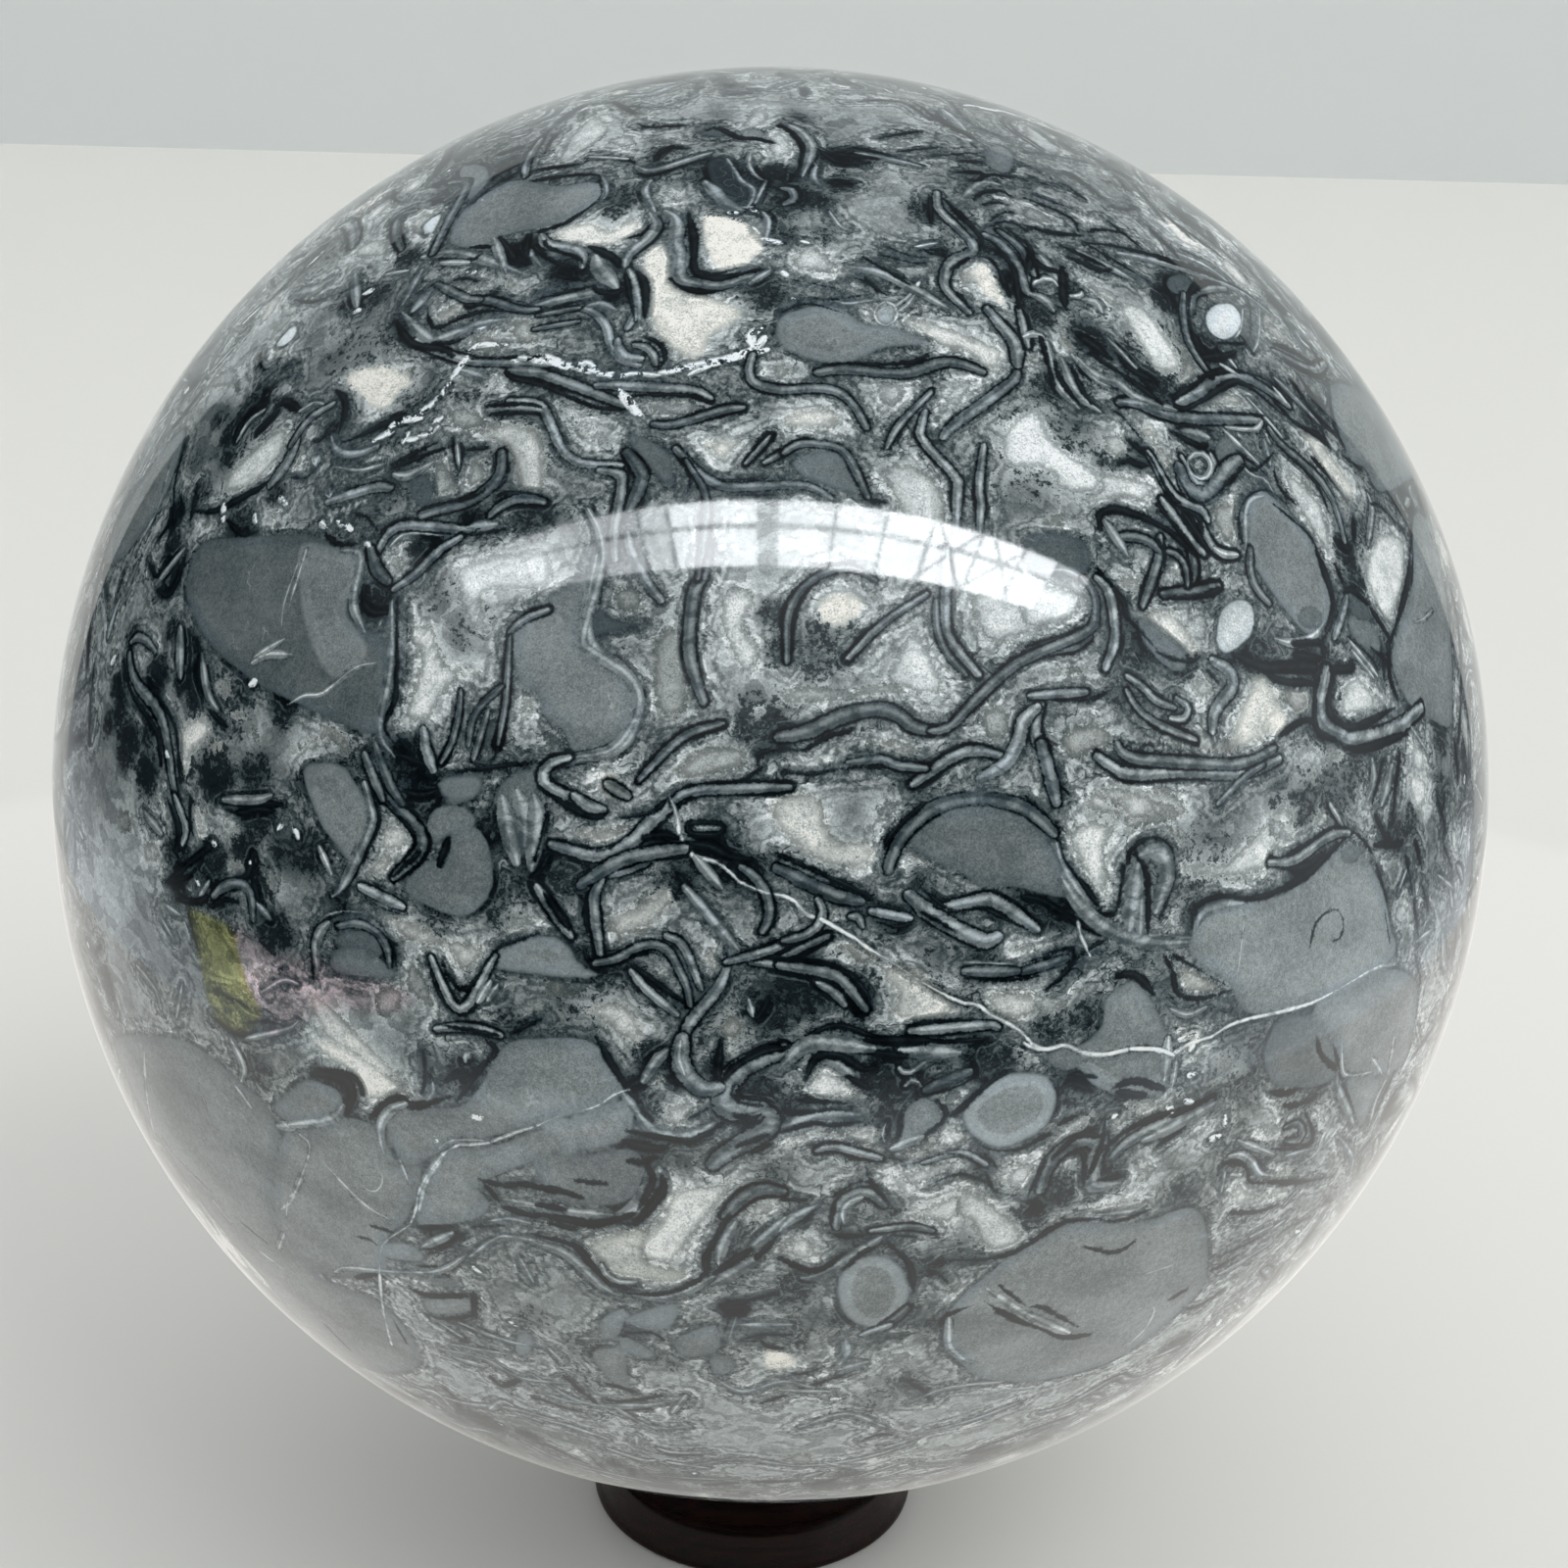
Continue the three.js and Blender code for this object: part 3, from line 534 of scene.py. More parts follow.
# Pale bands, without an edge. Half width in mm, then points.
light_bands = [
    (36, 612,548,598,631,608,664,631,681,649,704,651,730,637,757,611,770,571,778,554,793),
    (45, 1084,897,1100,922,1131,949,1172,962,1212,962), (28, 531,1469,571,1489,624,1504,690,1516),
    (26, 697,1496,757,1489,817,1496,876,1489,930,1473), (24, 544,1403,591,1430,637,1436,684,1430),
    (22, 618,1430,664,1456,704,1456), (22, 724,1403,757,1420,797,1410,830,1416),
    (24, 817,1456,863,1443,903,1456), (24, 930,1430,969,1416,1023,1410), (24, 936,1463,989,1450,1042,1430),
    (26, 419,1412,469,1431,519,1437,569,1450), (24, 444,1375,494,1387,531,1406,581,1412),
    (20, 469,1350,519,1369,556,1375), (40, 432,262,468,258,530,278), (30, 504,244,516,278),
    (26, 534,252,552,272), (55, 300,300,320,296,340,284), (40, 362,280,364,312), (34, 430,276,410,312),
    (50, 440,296,420,318), (24, 612,178,618,188,618,200,612,206), (55, 640,98,665,96,700,84),
    (30, 650,170,668,174,725,156), (24, 742,162,756,184,768,192,768,202,762,212),
    (20, 766,154,764,168,772,180,780,184), (22, 782,184,770,208), (55, 720,186,742,208,756,214),
    (50, 680,216,690,224,690,250,694,262,692,276,698,286,712,290), (30, 700,286,734,292,766,282),
    (24, 764,290,786,276), (26, 778,216,784,226,780,248), (36, 638,272,642,260,664,240,670,228,664,218),
    (36, 552,240,560,250,586,254,594,262,594,272), (56, 608,262,612,274,628,292),
    (42, 642,276,652,306,652,325), (34, 545,300,594,286), (34, 545,312,600,300,620,300),
    (30, 600,312,614,310,628,316), (26, 664,184,658,194,668,216),
    (32, 800,126,814,132,824,142,828,154,818,182), (28, 874,156,940,170), (30, 832,170,830,182,838,190),
    (40, 962,112,984,132), (30, 984,200,1004,186,1018,188), (34, 866,272,902,280,966,314),
    (18, 850,306,864,310,896,306), (40, 1140,258,1256,292,1298,322), (30, 1100,256,1160,288),
    (40, 1062,262,1078,284), (34, 1052,300,1066,306,1074,316), (30, 1106,306,1118,308,1124,318),
    (30, 176,466,160,520,134,568), (36, 410,318,432,341,448,346,490,330,516,326), (30, 520,378,555,380),
    (30, 472,378,495,386), (24, 498,418,540,416,555,420), (34, 338,445,342,458,352,463,368,462,385,455),
    (26, 402,484,415,486,438,474), (34, 478,538,505,535), (20, 1284,305,1284,345,1278,360),
    (32, 1202,410,1226,398), (30, 1146,410,1170,413),
    (30, 1100,366,1112,378,1126,387,1140,390,1164,408,1200,418), (28, 1068,350,1078,390,1100,416),
    (30, 1084,368,1098,400,1122,420), (46, 1208,440,1232,446), (28, 1272,560,1272,522,1278,510,1290,506),
    (30, 1128,532,1150,566), (30, 1290,450,1296,474), (30, 1300,385,1346,432),
    (30, 1396,505,1400,518,1396,555), (24, 160,596,188,560), (30, 206,668,210,700,214,714,222,724),
    (45, 184,640,184,690), (40, 118,620,110,650), (30, 140,575,128,606), (30, 98,730,94,756),
    (30, 400,612,398,680,387,745,402,772), (16, 421,600,425,588,432,583,432,592,423,601),
    (12, 390,632,383,646), (30, 350,562,362,563,368,572,360,615,372,645), (14, 522,765,532,775,538,770),
    (30, 600,520,612,545,613,580,594,650,600,662,635,685,648,700,652,718,645,738,622,765,575,773),
    (22, 1060,583,1085,582,1102,590,1113,603,1117,620,1112,636,1098,648,1050,664), (12, 1237,740,1240,756),
    (14, 1052,718,1065,714,1080,718), (44, 1353,686,1347,716,1348,730,1356,742,1370,749),
    (40, 1420,782,1410,820), (30, 1400,775,1402,795,1396,815), (24, 228,816,262,816,276,812),
    (30, 262,922,276,938), (30, 148,830,164,850), (32, 372,800,378,825,377,845,350,903,338,915),
    (28, 324,988,322,968,326,952,335,942), (55, 512,815,527,880), (55, 545,815,548,835,542,885),
    (60, 528,810,535,832,535,860), (34, 698,905,752,968), (30, 710,875,735,905),
    (7, 896,880,898,893,908,899,918,893), (12, 985,982,1035,984),
    (34, 1078,862,1085,885,1108,925,1120,940,1150,957), (62, 1160,885,1152,950), (30, 1163,905,1163,958),
    (58, 1166,872,1178,868,1188,876,1191,892,1180,928), (30, 1174,955,1185,960,1215,957),
    (40, 1222,945,1228,932,1245,925,1268,922), (16, 1195,1030,1212,1036,1230,1028),
    (24, 440,1100,442,1112,436,1122), (30, 656,1104,672,1080,682,1072),
    (40, 645,1130,664,1152,680,1158,698,1160,714,1156,726,1148), (34, 636,1116,652,1138),
    (34, 672,1192,674,1208,670,1220), (52, 662,1200,662,1212,656,1224,646,1234,632,1240),
    (30, 545,1232,624,1240), (34, 545,1268,578,1280,618,1316,632,1322), (40, 648,1322,684,1323,726,1304),
    (34, 734,1288,736,1274,750,1248), (44, 728,1310,776,1282), (34, 764,1276,800,1244),
    (30, 838,1084,850,1082,874,1102), (46, 800,1086,830,1064,890,1070), (45, 920,1072,978,1074),
    (45, 800,1150,836,1138,876,1138), (34, 796,1256,808,1244,834,1230), (30, 820,1304,838,1300,900,1262),
    (50, 1128,1146,1114,1204,1124,1210,1140,1208), (44, 1166,1164,1240,1126),
    (26, 1120,1240,1158,1236,1170,1228), (34, 1364,1098,1366,1112,1382,1150),
    (34, 1418,1094,1404,1122,1396,1152), (36, 756,1352,806,1352), (34, 856,1398,884,1390),
    (40, 862,1366,864,1380,856,1392),
]
# Thin pale threads and scratches. Half width in mm, strength, then points.
thin_lights = [
    (12,50, 370,1195,380,1190,389,1197,389,1209,381,1216,371,1211,367,1203,370,1195),
    (20,70, 450,268,478,268), (16,80, 394,280,416,276), (16,70, 600,160,640,162), (10,80, 742,212,770,211),
    (16,100, 934,252,956,248), (14,80, 916,318,926,312,934,300), (16,60, 845,214,858,232,868,235),
    (10,60, 830,165,834,172,828,178), (20,90, 1200,258,1232,272,1258,292),
    (14,100, 1045,296,1060,286,1072,284,1080,292), (14,100, 1092,302,1102,303,1104,298),
    (16,50, 242,450,254,430,270,418), (24,50, 140,492,176,424), (10,80, 305,420,320,411,330,412),
    (14,80, 340,476,366,480,390,474), (10,80, 466,452,469,480), (12,90, 398,558,406,549,420,544,456,547),
    (12,80, 328,500,335,497,343,503,336,507,329,501), (12,80, 318,468,323,464,326,470,322,475,318,469),
    (16,80, 1268,315,1266,335,1260,345), (14,60, 1094,362,1118,388,1132,394), (10,70, 1130,345,1160,376),
    (18,90, 1046,343,1055,340,1064,343),
    (16,70, 1212,470,1220,462,1230,464,1236,474,1232,486,1222,488,1214,480,1212,471),
    (20,90, 1240,560,1250,566,1262,566), (12,80, 1246,372,1266,384), (12,80, 1248,358,1262,376),
    (14,80, 1248,438,1286,475), (10,80, 1250,436,1280,438,1288,430),
    (12,80, 1268,475,1278,485,1292,490,1300,505), (12,80, 1272,405,1310,448),
    (18,80, 1322,338,1330,350,1342,358), (14,60, 1336,330,1352,358), (22,80, 1362,372,1380,392),
    (20,100, 1300,396,1312,410), (20,50, 122,612,110,645), (12,60, 304,575,290,614,287,640),
    (24,50, 258,676,272,668,296,668), (14,70, 260,670,290,652), (10,70, 313,560,294,622),
    (12,90, 294,719,310,710,330,707,362,682,385,676), (16,90, 1376,652,1406,690),
    (12,80, 1380,664,1402,692), (10,70, 1404,620,1420,642), (20,90, 1322,686,1342,681),
    (14,70, 1440,742,1458,770), (8,60, 1440,636,1452,632,1462,622),
    (24,80, 1302,652,1316,656,1330,654,1344,646,1352,634), (10,80, 204,914,214,898),
    (20,50, 166,922,184,934), (16,50, 164,936,178,960), (24,50, 140,986,158,1010,164,1030),
    (14,50, 186,1004,180,1038), (16,50, 240,1022,252,1034,264,1038), (16,60, 268,1012,290,1000,304,1004),
    (20,50, 252,1060,294,1050,304,1042), (20,80, 326,865,338,892), (12,90, 325,945,335,935,350,930,380,932),
    (22,80, 488,1022,500,1002), (16,70, 498,1020,508,1005), (20,70, 764,1020,768,1036),
    (10,50, 1270,930,1262,1000), (14,90, 1357,820,1370,842), (20,60, 1446,960,1462,948),
    (20,60, 1480,908,1482,925), (20,50, 1436,885,1426,912), (16,60, 1466,892,1482,906),
    (30,50, 147,1070,158,1160), (30,60, 236,1062,248,1088,246,1102), (16,60, 240,1108,256,1130),
    (34,60, 283,1149,300,1150), (20,50, 206,1118,212,1134), (30,50, 288,1234,298,1226,302,1212),
    (20,50, 290,1258,284,1274), (24,50, 218,1226,234,1246), (24,60, 264,1276,290,1296),
    (34,50, 296,1148,330,1144,344,1138,350,1128), (18,50, 306,1158,316,1172,302,1214,294,1222,292,1240),
    (22,55, 328,1184,370,1228,400,1246), (16,50, 408,1184,418,1210),
    (30,50, 392,1176,388,1160,390,1144,400,1132,414,1126), (28,90, 454,1176,434,1206,427,1236),
    (14,60, 448,1172,462,1164,494,1164), (20,60, 342,1298,358,1294,442,1298,474,1282),
    (30,50, 432,1272,462,1258), (20,60, 480,1282,506,1264,522,1262,555,1268), (24,50, 514,1224,548,1230),
    (20,50, 500,1246,520,1244,540,1248), (20,50, 528,1280,544,1308), (20,70, 694,1064,692,1080,698,1096),
    (16,80, 704,1084,714,1102), (12,60, 614,1290,618,1300,632,1308,650,1308), (34,50, 910,1172,940,1160),
    (20,60, 862,1250,860,1236,868,1226,880,1222), (10,70, 904,1146,900,1156,902,1164),
    (10,70, 918,1090,926,1096,944,1084), (10,70, 924,1108,932,1100,940,1108), (34,70, 1192,1060,1188,1100),
    (16,60, 1200,1084,1196,1108), (12,60, 1110,1242,1158,1242), (20,50, 1170,1300,1200,1290),
    (24,60, 1254,1180,1266,1178,1278,1186,1286,1198,1298,1200), (20,60, 1264,1164,1300,1178),
    (14,50, 1250,1196,1246,1218), (24,50, 1244,1300,1298,1268), (20,70, 1276,1262,1300,1250),
    (16,50, 1369,1064,1370,1092,1378,1098,1400,1094), (24,50, 1400,1080,1410,1096),
    (30,50, 1422,1060,1416,1096), (20,60, 1310,1180,1340,1172), (24,50, 1366,1160,1380,1182,1378,1196),
    (14,60, 1310,1230,1326,1212), (20,60, 1296,1256,1312,1244), (20,50, 1302,1280,1320,1264),
    (14,60, 440,1344,474,1366), (10,80, 387,1332,396,1354), (20,50, 462,1372,520,1382),
    (24,50, 466,1386,494,1394), (24,50, 316,1350,350,1376), (30,50, 434,1418,446,1422,462,1438),
    (30,60, 500,1438,512,1430,522,1434), (24,70, 518,1474,550,1490), (16,50, 744,1368,752,1342),
    (20,60, 592,1366,612,1366), (16,70, 558,1374,572,1388), (16,50, 686,1442,700,1424),
    (24,50, 620,1434,660,1434), (30,60, 572,1452,620,1468), (14,50, 545,1418,580,1430,600,1432),
    (14,50, 545,1446,578,1454), (24,60, 620,1478,656,1490,668,1490), (20,60, 672,1478,686,1482,726,1482),
    (24,70, 682,1492,722,1498), (20,50, 740,1520,800,1518), (16,50, 545,1484,576,1494),
    (16,50, 644,1470,652,1464,650,1474), (34,70, 1008,1316,1064,1352),
    (30,50, 968,1346,968,1372,976,1382,988,1390,1002,1388), (14,50, 795,1418,848,1420),
    (20,50, 900,1478,934,1468), (24,50, 840,1492,860,1496,880,1494), (16,50, 896,1510,930,1506),
    (30,50, 955,1508,1045,1478), (40,80, 1050,1342,1090,1360),
    (20,60, 1158,1338,1168,1334,1178,1336,1168,1356,1144,1378), (20,60, 1210,1372,1236,1350),
    (20,60, 1240,1340,1276,1312), (30,50, 1045,1480,1088,1466,1198,1402), (20,50, 1090,1458,1154,1424),
]
# Cream veins, which run over everything else. Only points.
cream_veins = [
    (892,320,896,311,904,308,912,311,916,320,912,329,904,332,896,329,892,320), (914,312,930,300,939,286),
    (918,987,942,1003), (1052,1064,1066,1071,1082,1068), (683,812,690,830,693,850,700,865,708,874,735,882,
        755,900,768,906,785,912,800,914,812,920,822,932,838,938,870,956,885,967,920,988),
    (940,1002,970,1018,985,1024,997,1025,1010,1035,1038,1050,1058,1070), (1052,1065,1060,1071,1072,1070,
        1087,1066,1101,1073,1127,1076,1153,1070,1182,1071,1198,1077,1213,1065,1236,1058,1255,1046,1276,1039,
        1334,1025,1368,1008,1402,988,1425,982), (1100,940,1103,955,1112,975),
    (1311,1030,1334,1025,1352,1017,1400,990,1424,984), (641,1112,628,1116,614,1126,600,1132,580,1136,562,
        1142,546,1150,530,1154,500,1166,484,1168,468,1168,454,1176,442,1190,432,1206,426,1220,424,1236,418,
        1250,392,1268,387,1285,390,1330,400,1373), (1045,1064,1052,1068,1064,1071,1088,1067,1106,1075,1118,
        1077,1132,1076,1146,1072,1160,1070,1174,1070,1186,1074,1198,1076,1204,1070,1224,1062),
]
# Painted glints: the sparkle of light in small pits along cracks, painted as strings of white chips. Only
# points.
painted_glints = [
    (531,365,581,373,624,384,647,381,671,383), (674,381,760,361,780,345), (631,398,654,426),
    (372,300,380,296), (362,318,368,316), (478,278,484,278), (492,204,498,204), (745,217,752,217),
    (768,214,774,216), (768,232,774,238), (778,244,798,248), (786,262,792,264), (810,305,814,306),
    (818,246,825,248), (797,276,804,282), (260,526,261,532), (286,508,292,514), (228,516,228,530),
    (476,365,461,386), (458,391,450,405), (449,404,430,422), (434,416,424,425), (430,426,408,429),
    (408,428,398,437), (400,440,381,450), (450,426,443,432,440,440), (446,436,437,443,428,444),
    (425,447,416,449), (416,443,412,450), (485,338,495,334), (480,358,488,352,518,352), (524,368,533,364),
    (547,368,556,371), (540,367,550,362), (345,532,358,540), (328,533,332,537), (371,548,376,556),
    (545,367,556,364,580,374,600,370,612,382,630,379), (629,401,640,408,656,427), (704,382,728,371,783,357),
    (768,352,765,341,775,336), (256,698,260,696), (114,676,118,670), (170,768,172,772), (216,858,220,862),
    (256,880,258,884), (269,888,270,892), (284,846,288,842), (300,846,304,854), (200,898,202,902),
    (236,946,238,950), (1205,1060,1222,1055,1215,1070), (484,1140,490,1140), (444,1162,446,1166),
    (484,1294,490,1298), (1214,1097,1220,1097), (1236,1162,1244,1160), (1210,1123,1216,1124),
    (1136,1140,1140,1138), (1250,1136,1250,1148), (1196,1134,1192,1130), (1322,1256,1326,1257),
    (522,1350,526,1352), (850,1428,856,1427),
]
# Cut shells and pebbles. Brightness, brightness of the rim, then the outline.
smooth_pockets = [
    (54,0, 205,556,250,548,312,546,352,558,369,572,368,600,355,618,362,636,385,648,397,662,399,700,384,748,
        300,716,255,692,214,656,196,622,190,600),
    (92,30, 306,556,345,559,366,569,369,590,353,622,364,642,376,662,360,690,336,690,318,660,306,612), (90,0,
        602,588,592,640,602,664,630,680,646,702,648,726,636,750,610,768,586,768,574,744,558,734,546,704,534,
        704,522,660,526,640,546,620), (92,0, 118,1062,180,1060,238,1098,282,1150,280,1240,322,1300,392,1332,
        428,1392,350,1384,262,1296,192,1206,142,1126), (100,0, 474,214,510,190,530,184,570,190,600,186,615,
        190,612,204,570,228,515,240,498,255,464,250,460,240),
    (95,0, 472,170,486,168,497,172,498,185,488,196,480,205,470,182),
    (50,0, 718,132,740,132,736,139,716,137),
    (12,0, 722,166,736,160,746,166,764,194,760,204,738,196,726,186),
    (85,0, 1010,150,1025,150,1034,162,1028,176,1012,172,1006,160),
    (45,0, 1192,284,1206,280,1216,286,1214,296,1200,300,1192,294),
    (80,0, 132,512,178,446,188,446,168,506,130,564,110,575,112,555),
    (45,0, 420,488,430,484,440,490,442,505,435,517,425,514,418,500),
    (55,20, 645,443,680,460,686,475,683,496,643,452),
    (85,30, 795,325,835,312,860,316,880,330,910,334,950,350,900,355,880,365,850,372,800,355),
    (60,20, 808,470,830,462,855,463,876,503,830,490,812,480), (85,25, 1275,505,1290,501,1322,530,1338,552,
        1358,605,1357,628,1341,648,1322,636,1288,590,1276,565,1270,530),
    (75,0, 1248,446,1262,450,1266,462,1256,470,1244,476,1240,462),
    (45,0, 1052,545,1098,548,1110,560,1112,580,1090,590,1060,585,1048,565),
    (80,0, 1360,392,1396,405,1440,470,1430,495,1405,500,1394,478,1376,466,1360,418),
    (110,0, 1442,530,1455,528,1462,545,1482,700,1480,740,1462,735,1440,720,1424,690,1422,660,1440,600),
    (60,50, 448,796,490,792,485,815,455,815), (80,0, 505,822,512,800,525,790,545,785,548,800,540,822),
    (100,30, 310,785,345,780,360,795,385,840,375,870,358,880,345,865,325,835),
    (30,10, 605,622,615,622,625,632,665,638,645,642,607,648,600,638),
    (75,0, 1165,630,1210,668,1205,685,1190,680,1175,665,1165,650),
    (85,0, 1376,632,1386,628,1398,635,1410,662,1396,662,1380,648),
    (45,0, 1378,618,1390,612,1398,622,1398,632,1384,632),
    (60,0, 1326,622,1340,618,1350,628,1348,640,1334,642,1324,634),
    (55,0, 345,955,365,950,385,958,390,975,365,975,345,965),
    (70,0, 345,968,375,970,400,990,400,998,340,990),
    (90,0, 415,900,430,880,455,875,462,852,480,842,495,855,502,880,502,905,490,925,465,935,420,915),
    (100,0, 440,830,455,822,475,825,485,840,460,850,445,860,435,850),
    (95,50, 515,968,535,958,560,955,580,965,590,982,610,995,590,998,505,988,500,978),
    (72,0, 930,852,950,832,985,822,1030,824,1055,840,1075,870,1095,915,1035,905,1000,905,980,890,935,868),
        (105,25, 1128,1020,1150,1002,1165,1008,1187,1045,1192,1070,1190,1110,1160,1120,1120,1110,1100,1090,
        1080,1078,1110,1062,1125,1045), (115,0, 1216,958,1222,935,1245,922,1300,916,1325,902,1368,866,1385,
        868,1400,885,1412,912,1418,945,1420,978,1334,1025,1280,1035,1262,1020,1256,1005,1216,975),
    (78,0, 1368,868,1380,862,1390,866,1386,878,1372,882), (105,0, 1370,1012,1410,992,1428,990,1442,1000,
        1446,1020,1432,1085,1400,1095,1372,1090,1362,1060,1340,1028), (70,0, 1306,1042,1325,1036,1345,1040,
        1358,1050,1364,1072,1360,1100,1330,1110,1300,1105,1290,1080,1296,1056),
    (85,15, 300,1110,316,1102,344,1112,350,1124,346,1138,332,1144,296,1146,280,1130), (100,0, 296,1150,320,
        1150,352,1140,388,1152,396,1172,410,1190,430,1190,424,1220,414,1246,396,1262,388,1300,330,1300,296,
        1290,280,1240,284,1180), (105,0, 400,1130,466,1130,490,1108,505,1080,520,1064,545,1060,600,1062,625,
        1090,636,1112,612,1128,500,1160,470,1164,420,1190,405,1176,396,1156), (110,0, 440,1186,466,1172,500,
        1170,636,1122,646,1140,640,1160,610,1172,560,1180,490,1208,500,1230,480,1245,440,1250,425,1245),
    (125,10, 390,1270,418,1270,432,1286,392,1282), (100,0, 436,1304,466,1306,464,1314,446,1312),
    (120,0, 550,1146,568,1140,590,1146,596,1164,584,1178,566,1166),
    (85,0, 560,1170,590,1180,640,1172,660,1190,656,1210,640,1225,612,1230,570,1225,550,1200,545,1185),
    (110,0, 922,1150,924,1134,934,1124,946,1120,962,1138,952,1150,920,1168), (95,90, 854,1318,856,1304,864,
        1292,876,1284,892,1281,908,1284,920,1294,926,1308,928,1322,920,1340,906,1352,890,1355,872,1350,860,
        1338), (105,100, 982,1142,986,1128,998,1114,1030,1096,1064,1096,1074,1106,1078,1120,1074,1138,1062,
        1154,1028,1170,1008,1168,992,1158), (100,0, 1066,1078,1094,1068,1108,1078,1170,1072,1186,1078,1186,
        1092,1172,1100,1150,1102,1110,1084,1094,1092,1080,1090), (100,0, 1045,1275,1080,1254,1100,1248,1168,
        1246,1206,1233,1222,1236,1230,1250,1232,1290,1222,1320,1150,1380,1100,1400,1040,1410,990,1400,966,
        1345,1020,1290), (135,0, 1124,1260,1150,1258,1144,1266,1136,1270,1122,1268),
    (95,0, 1378,1100,1398,1100,1408,1106,1394,1140,1390,1150,1376,1120),
    (120,20, 436,1326,478,1324,480,1338,440,1340),
    (115,0, 526,1372,530,1362,540,1360,544,1370,538,1382,528,1382),
    (115,0, 616,1344,640,1336,630,1364,618,1366,612,1356),
    (125,0, 608,1378,636,1378,640,1412,646,1418,632,1416,606,1388),
    (105,0, 630,1368,640,1364,668,1382,660,1386,640,1380),
    (95,0, 690,1366,726,1352,734,1360,734,1376,724,1382,700,1384,690,1376),
    (100,0, 725,1386,745,1384,748,1398,730,1402), (100,0, 640,1345,684,1330,692,1340,680,1356,656,1356),
]
# Small round grains of clean white. Brightness, then the outline.
white_eyes = [
    (62, 895,320,899,313,905,311,911,314,913,321,909,328,903,329,897,326),
    (115, 432,234,436,226,450,218,446,228,442,236,436,240),
    (45, 757,134,768,132,780,136,772,143,760,140), (115, 282,354,286,346,300,332,302,340,294,350),
    (105, 1232,320,1240,312,1255,310,1264,318,1266,332,1258,343,1246,346,1236,340,1231,330),
    (98, 1242,645,1246,625,1258,614,1273,614,1280,628,1277,645,1265,658,1252,666,1243,660),
    (115, 474,1074,480,1073,480,1082,474,1084,472,1080),
]
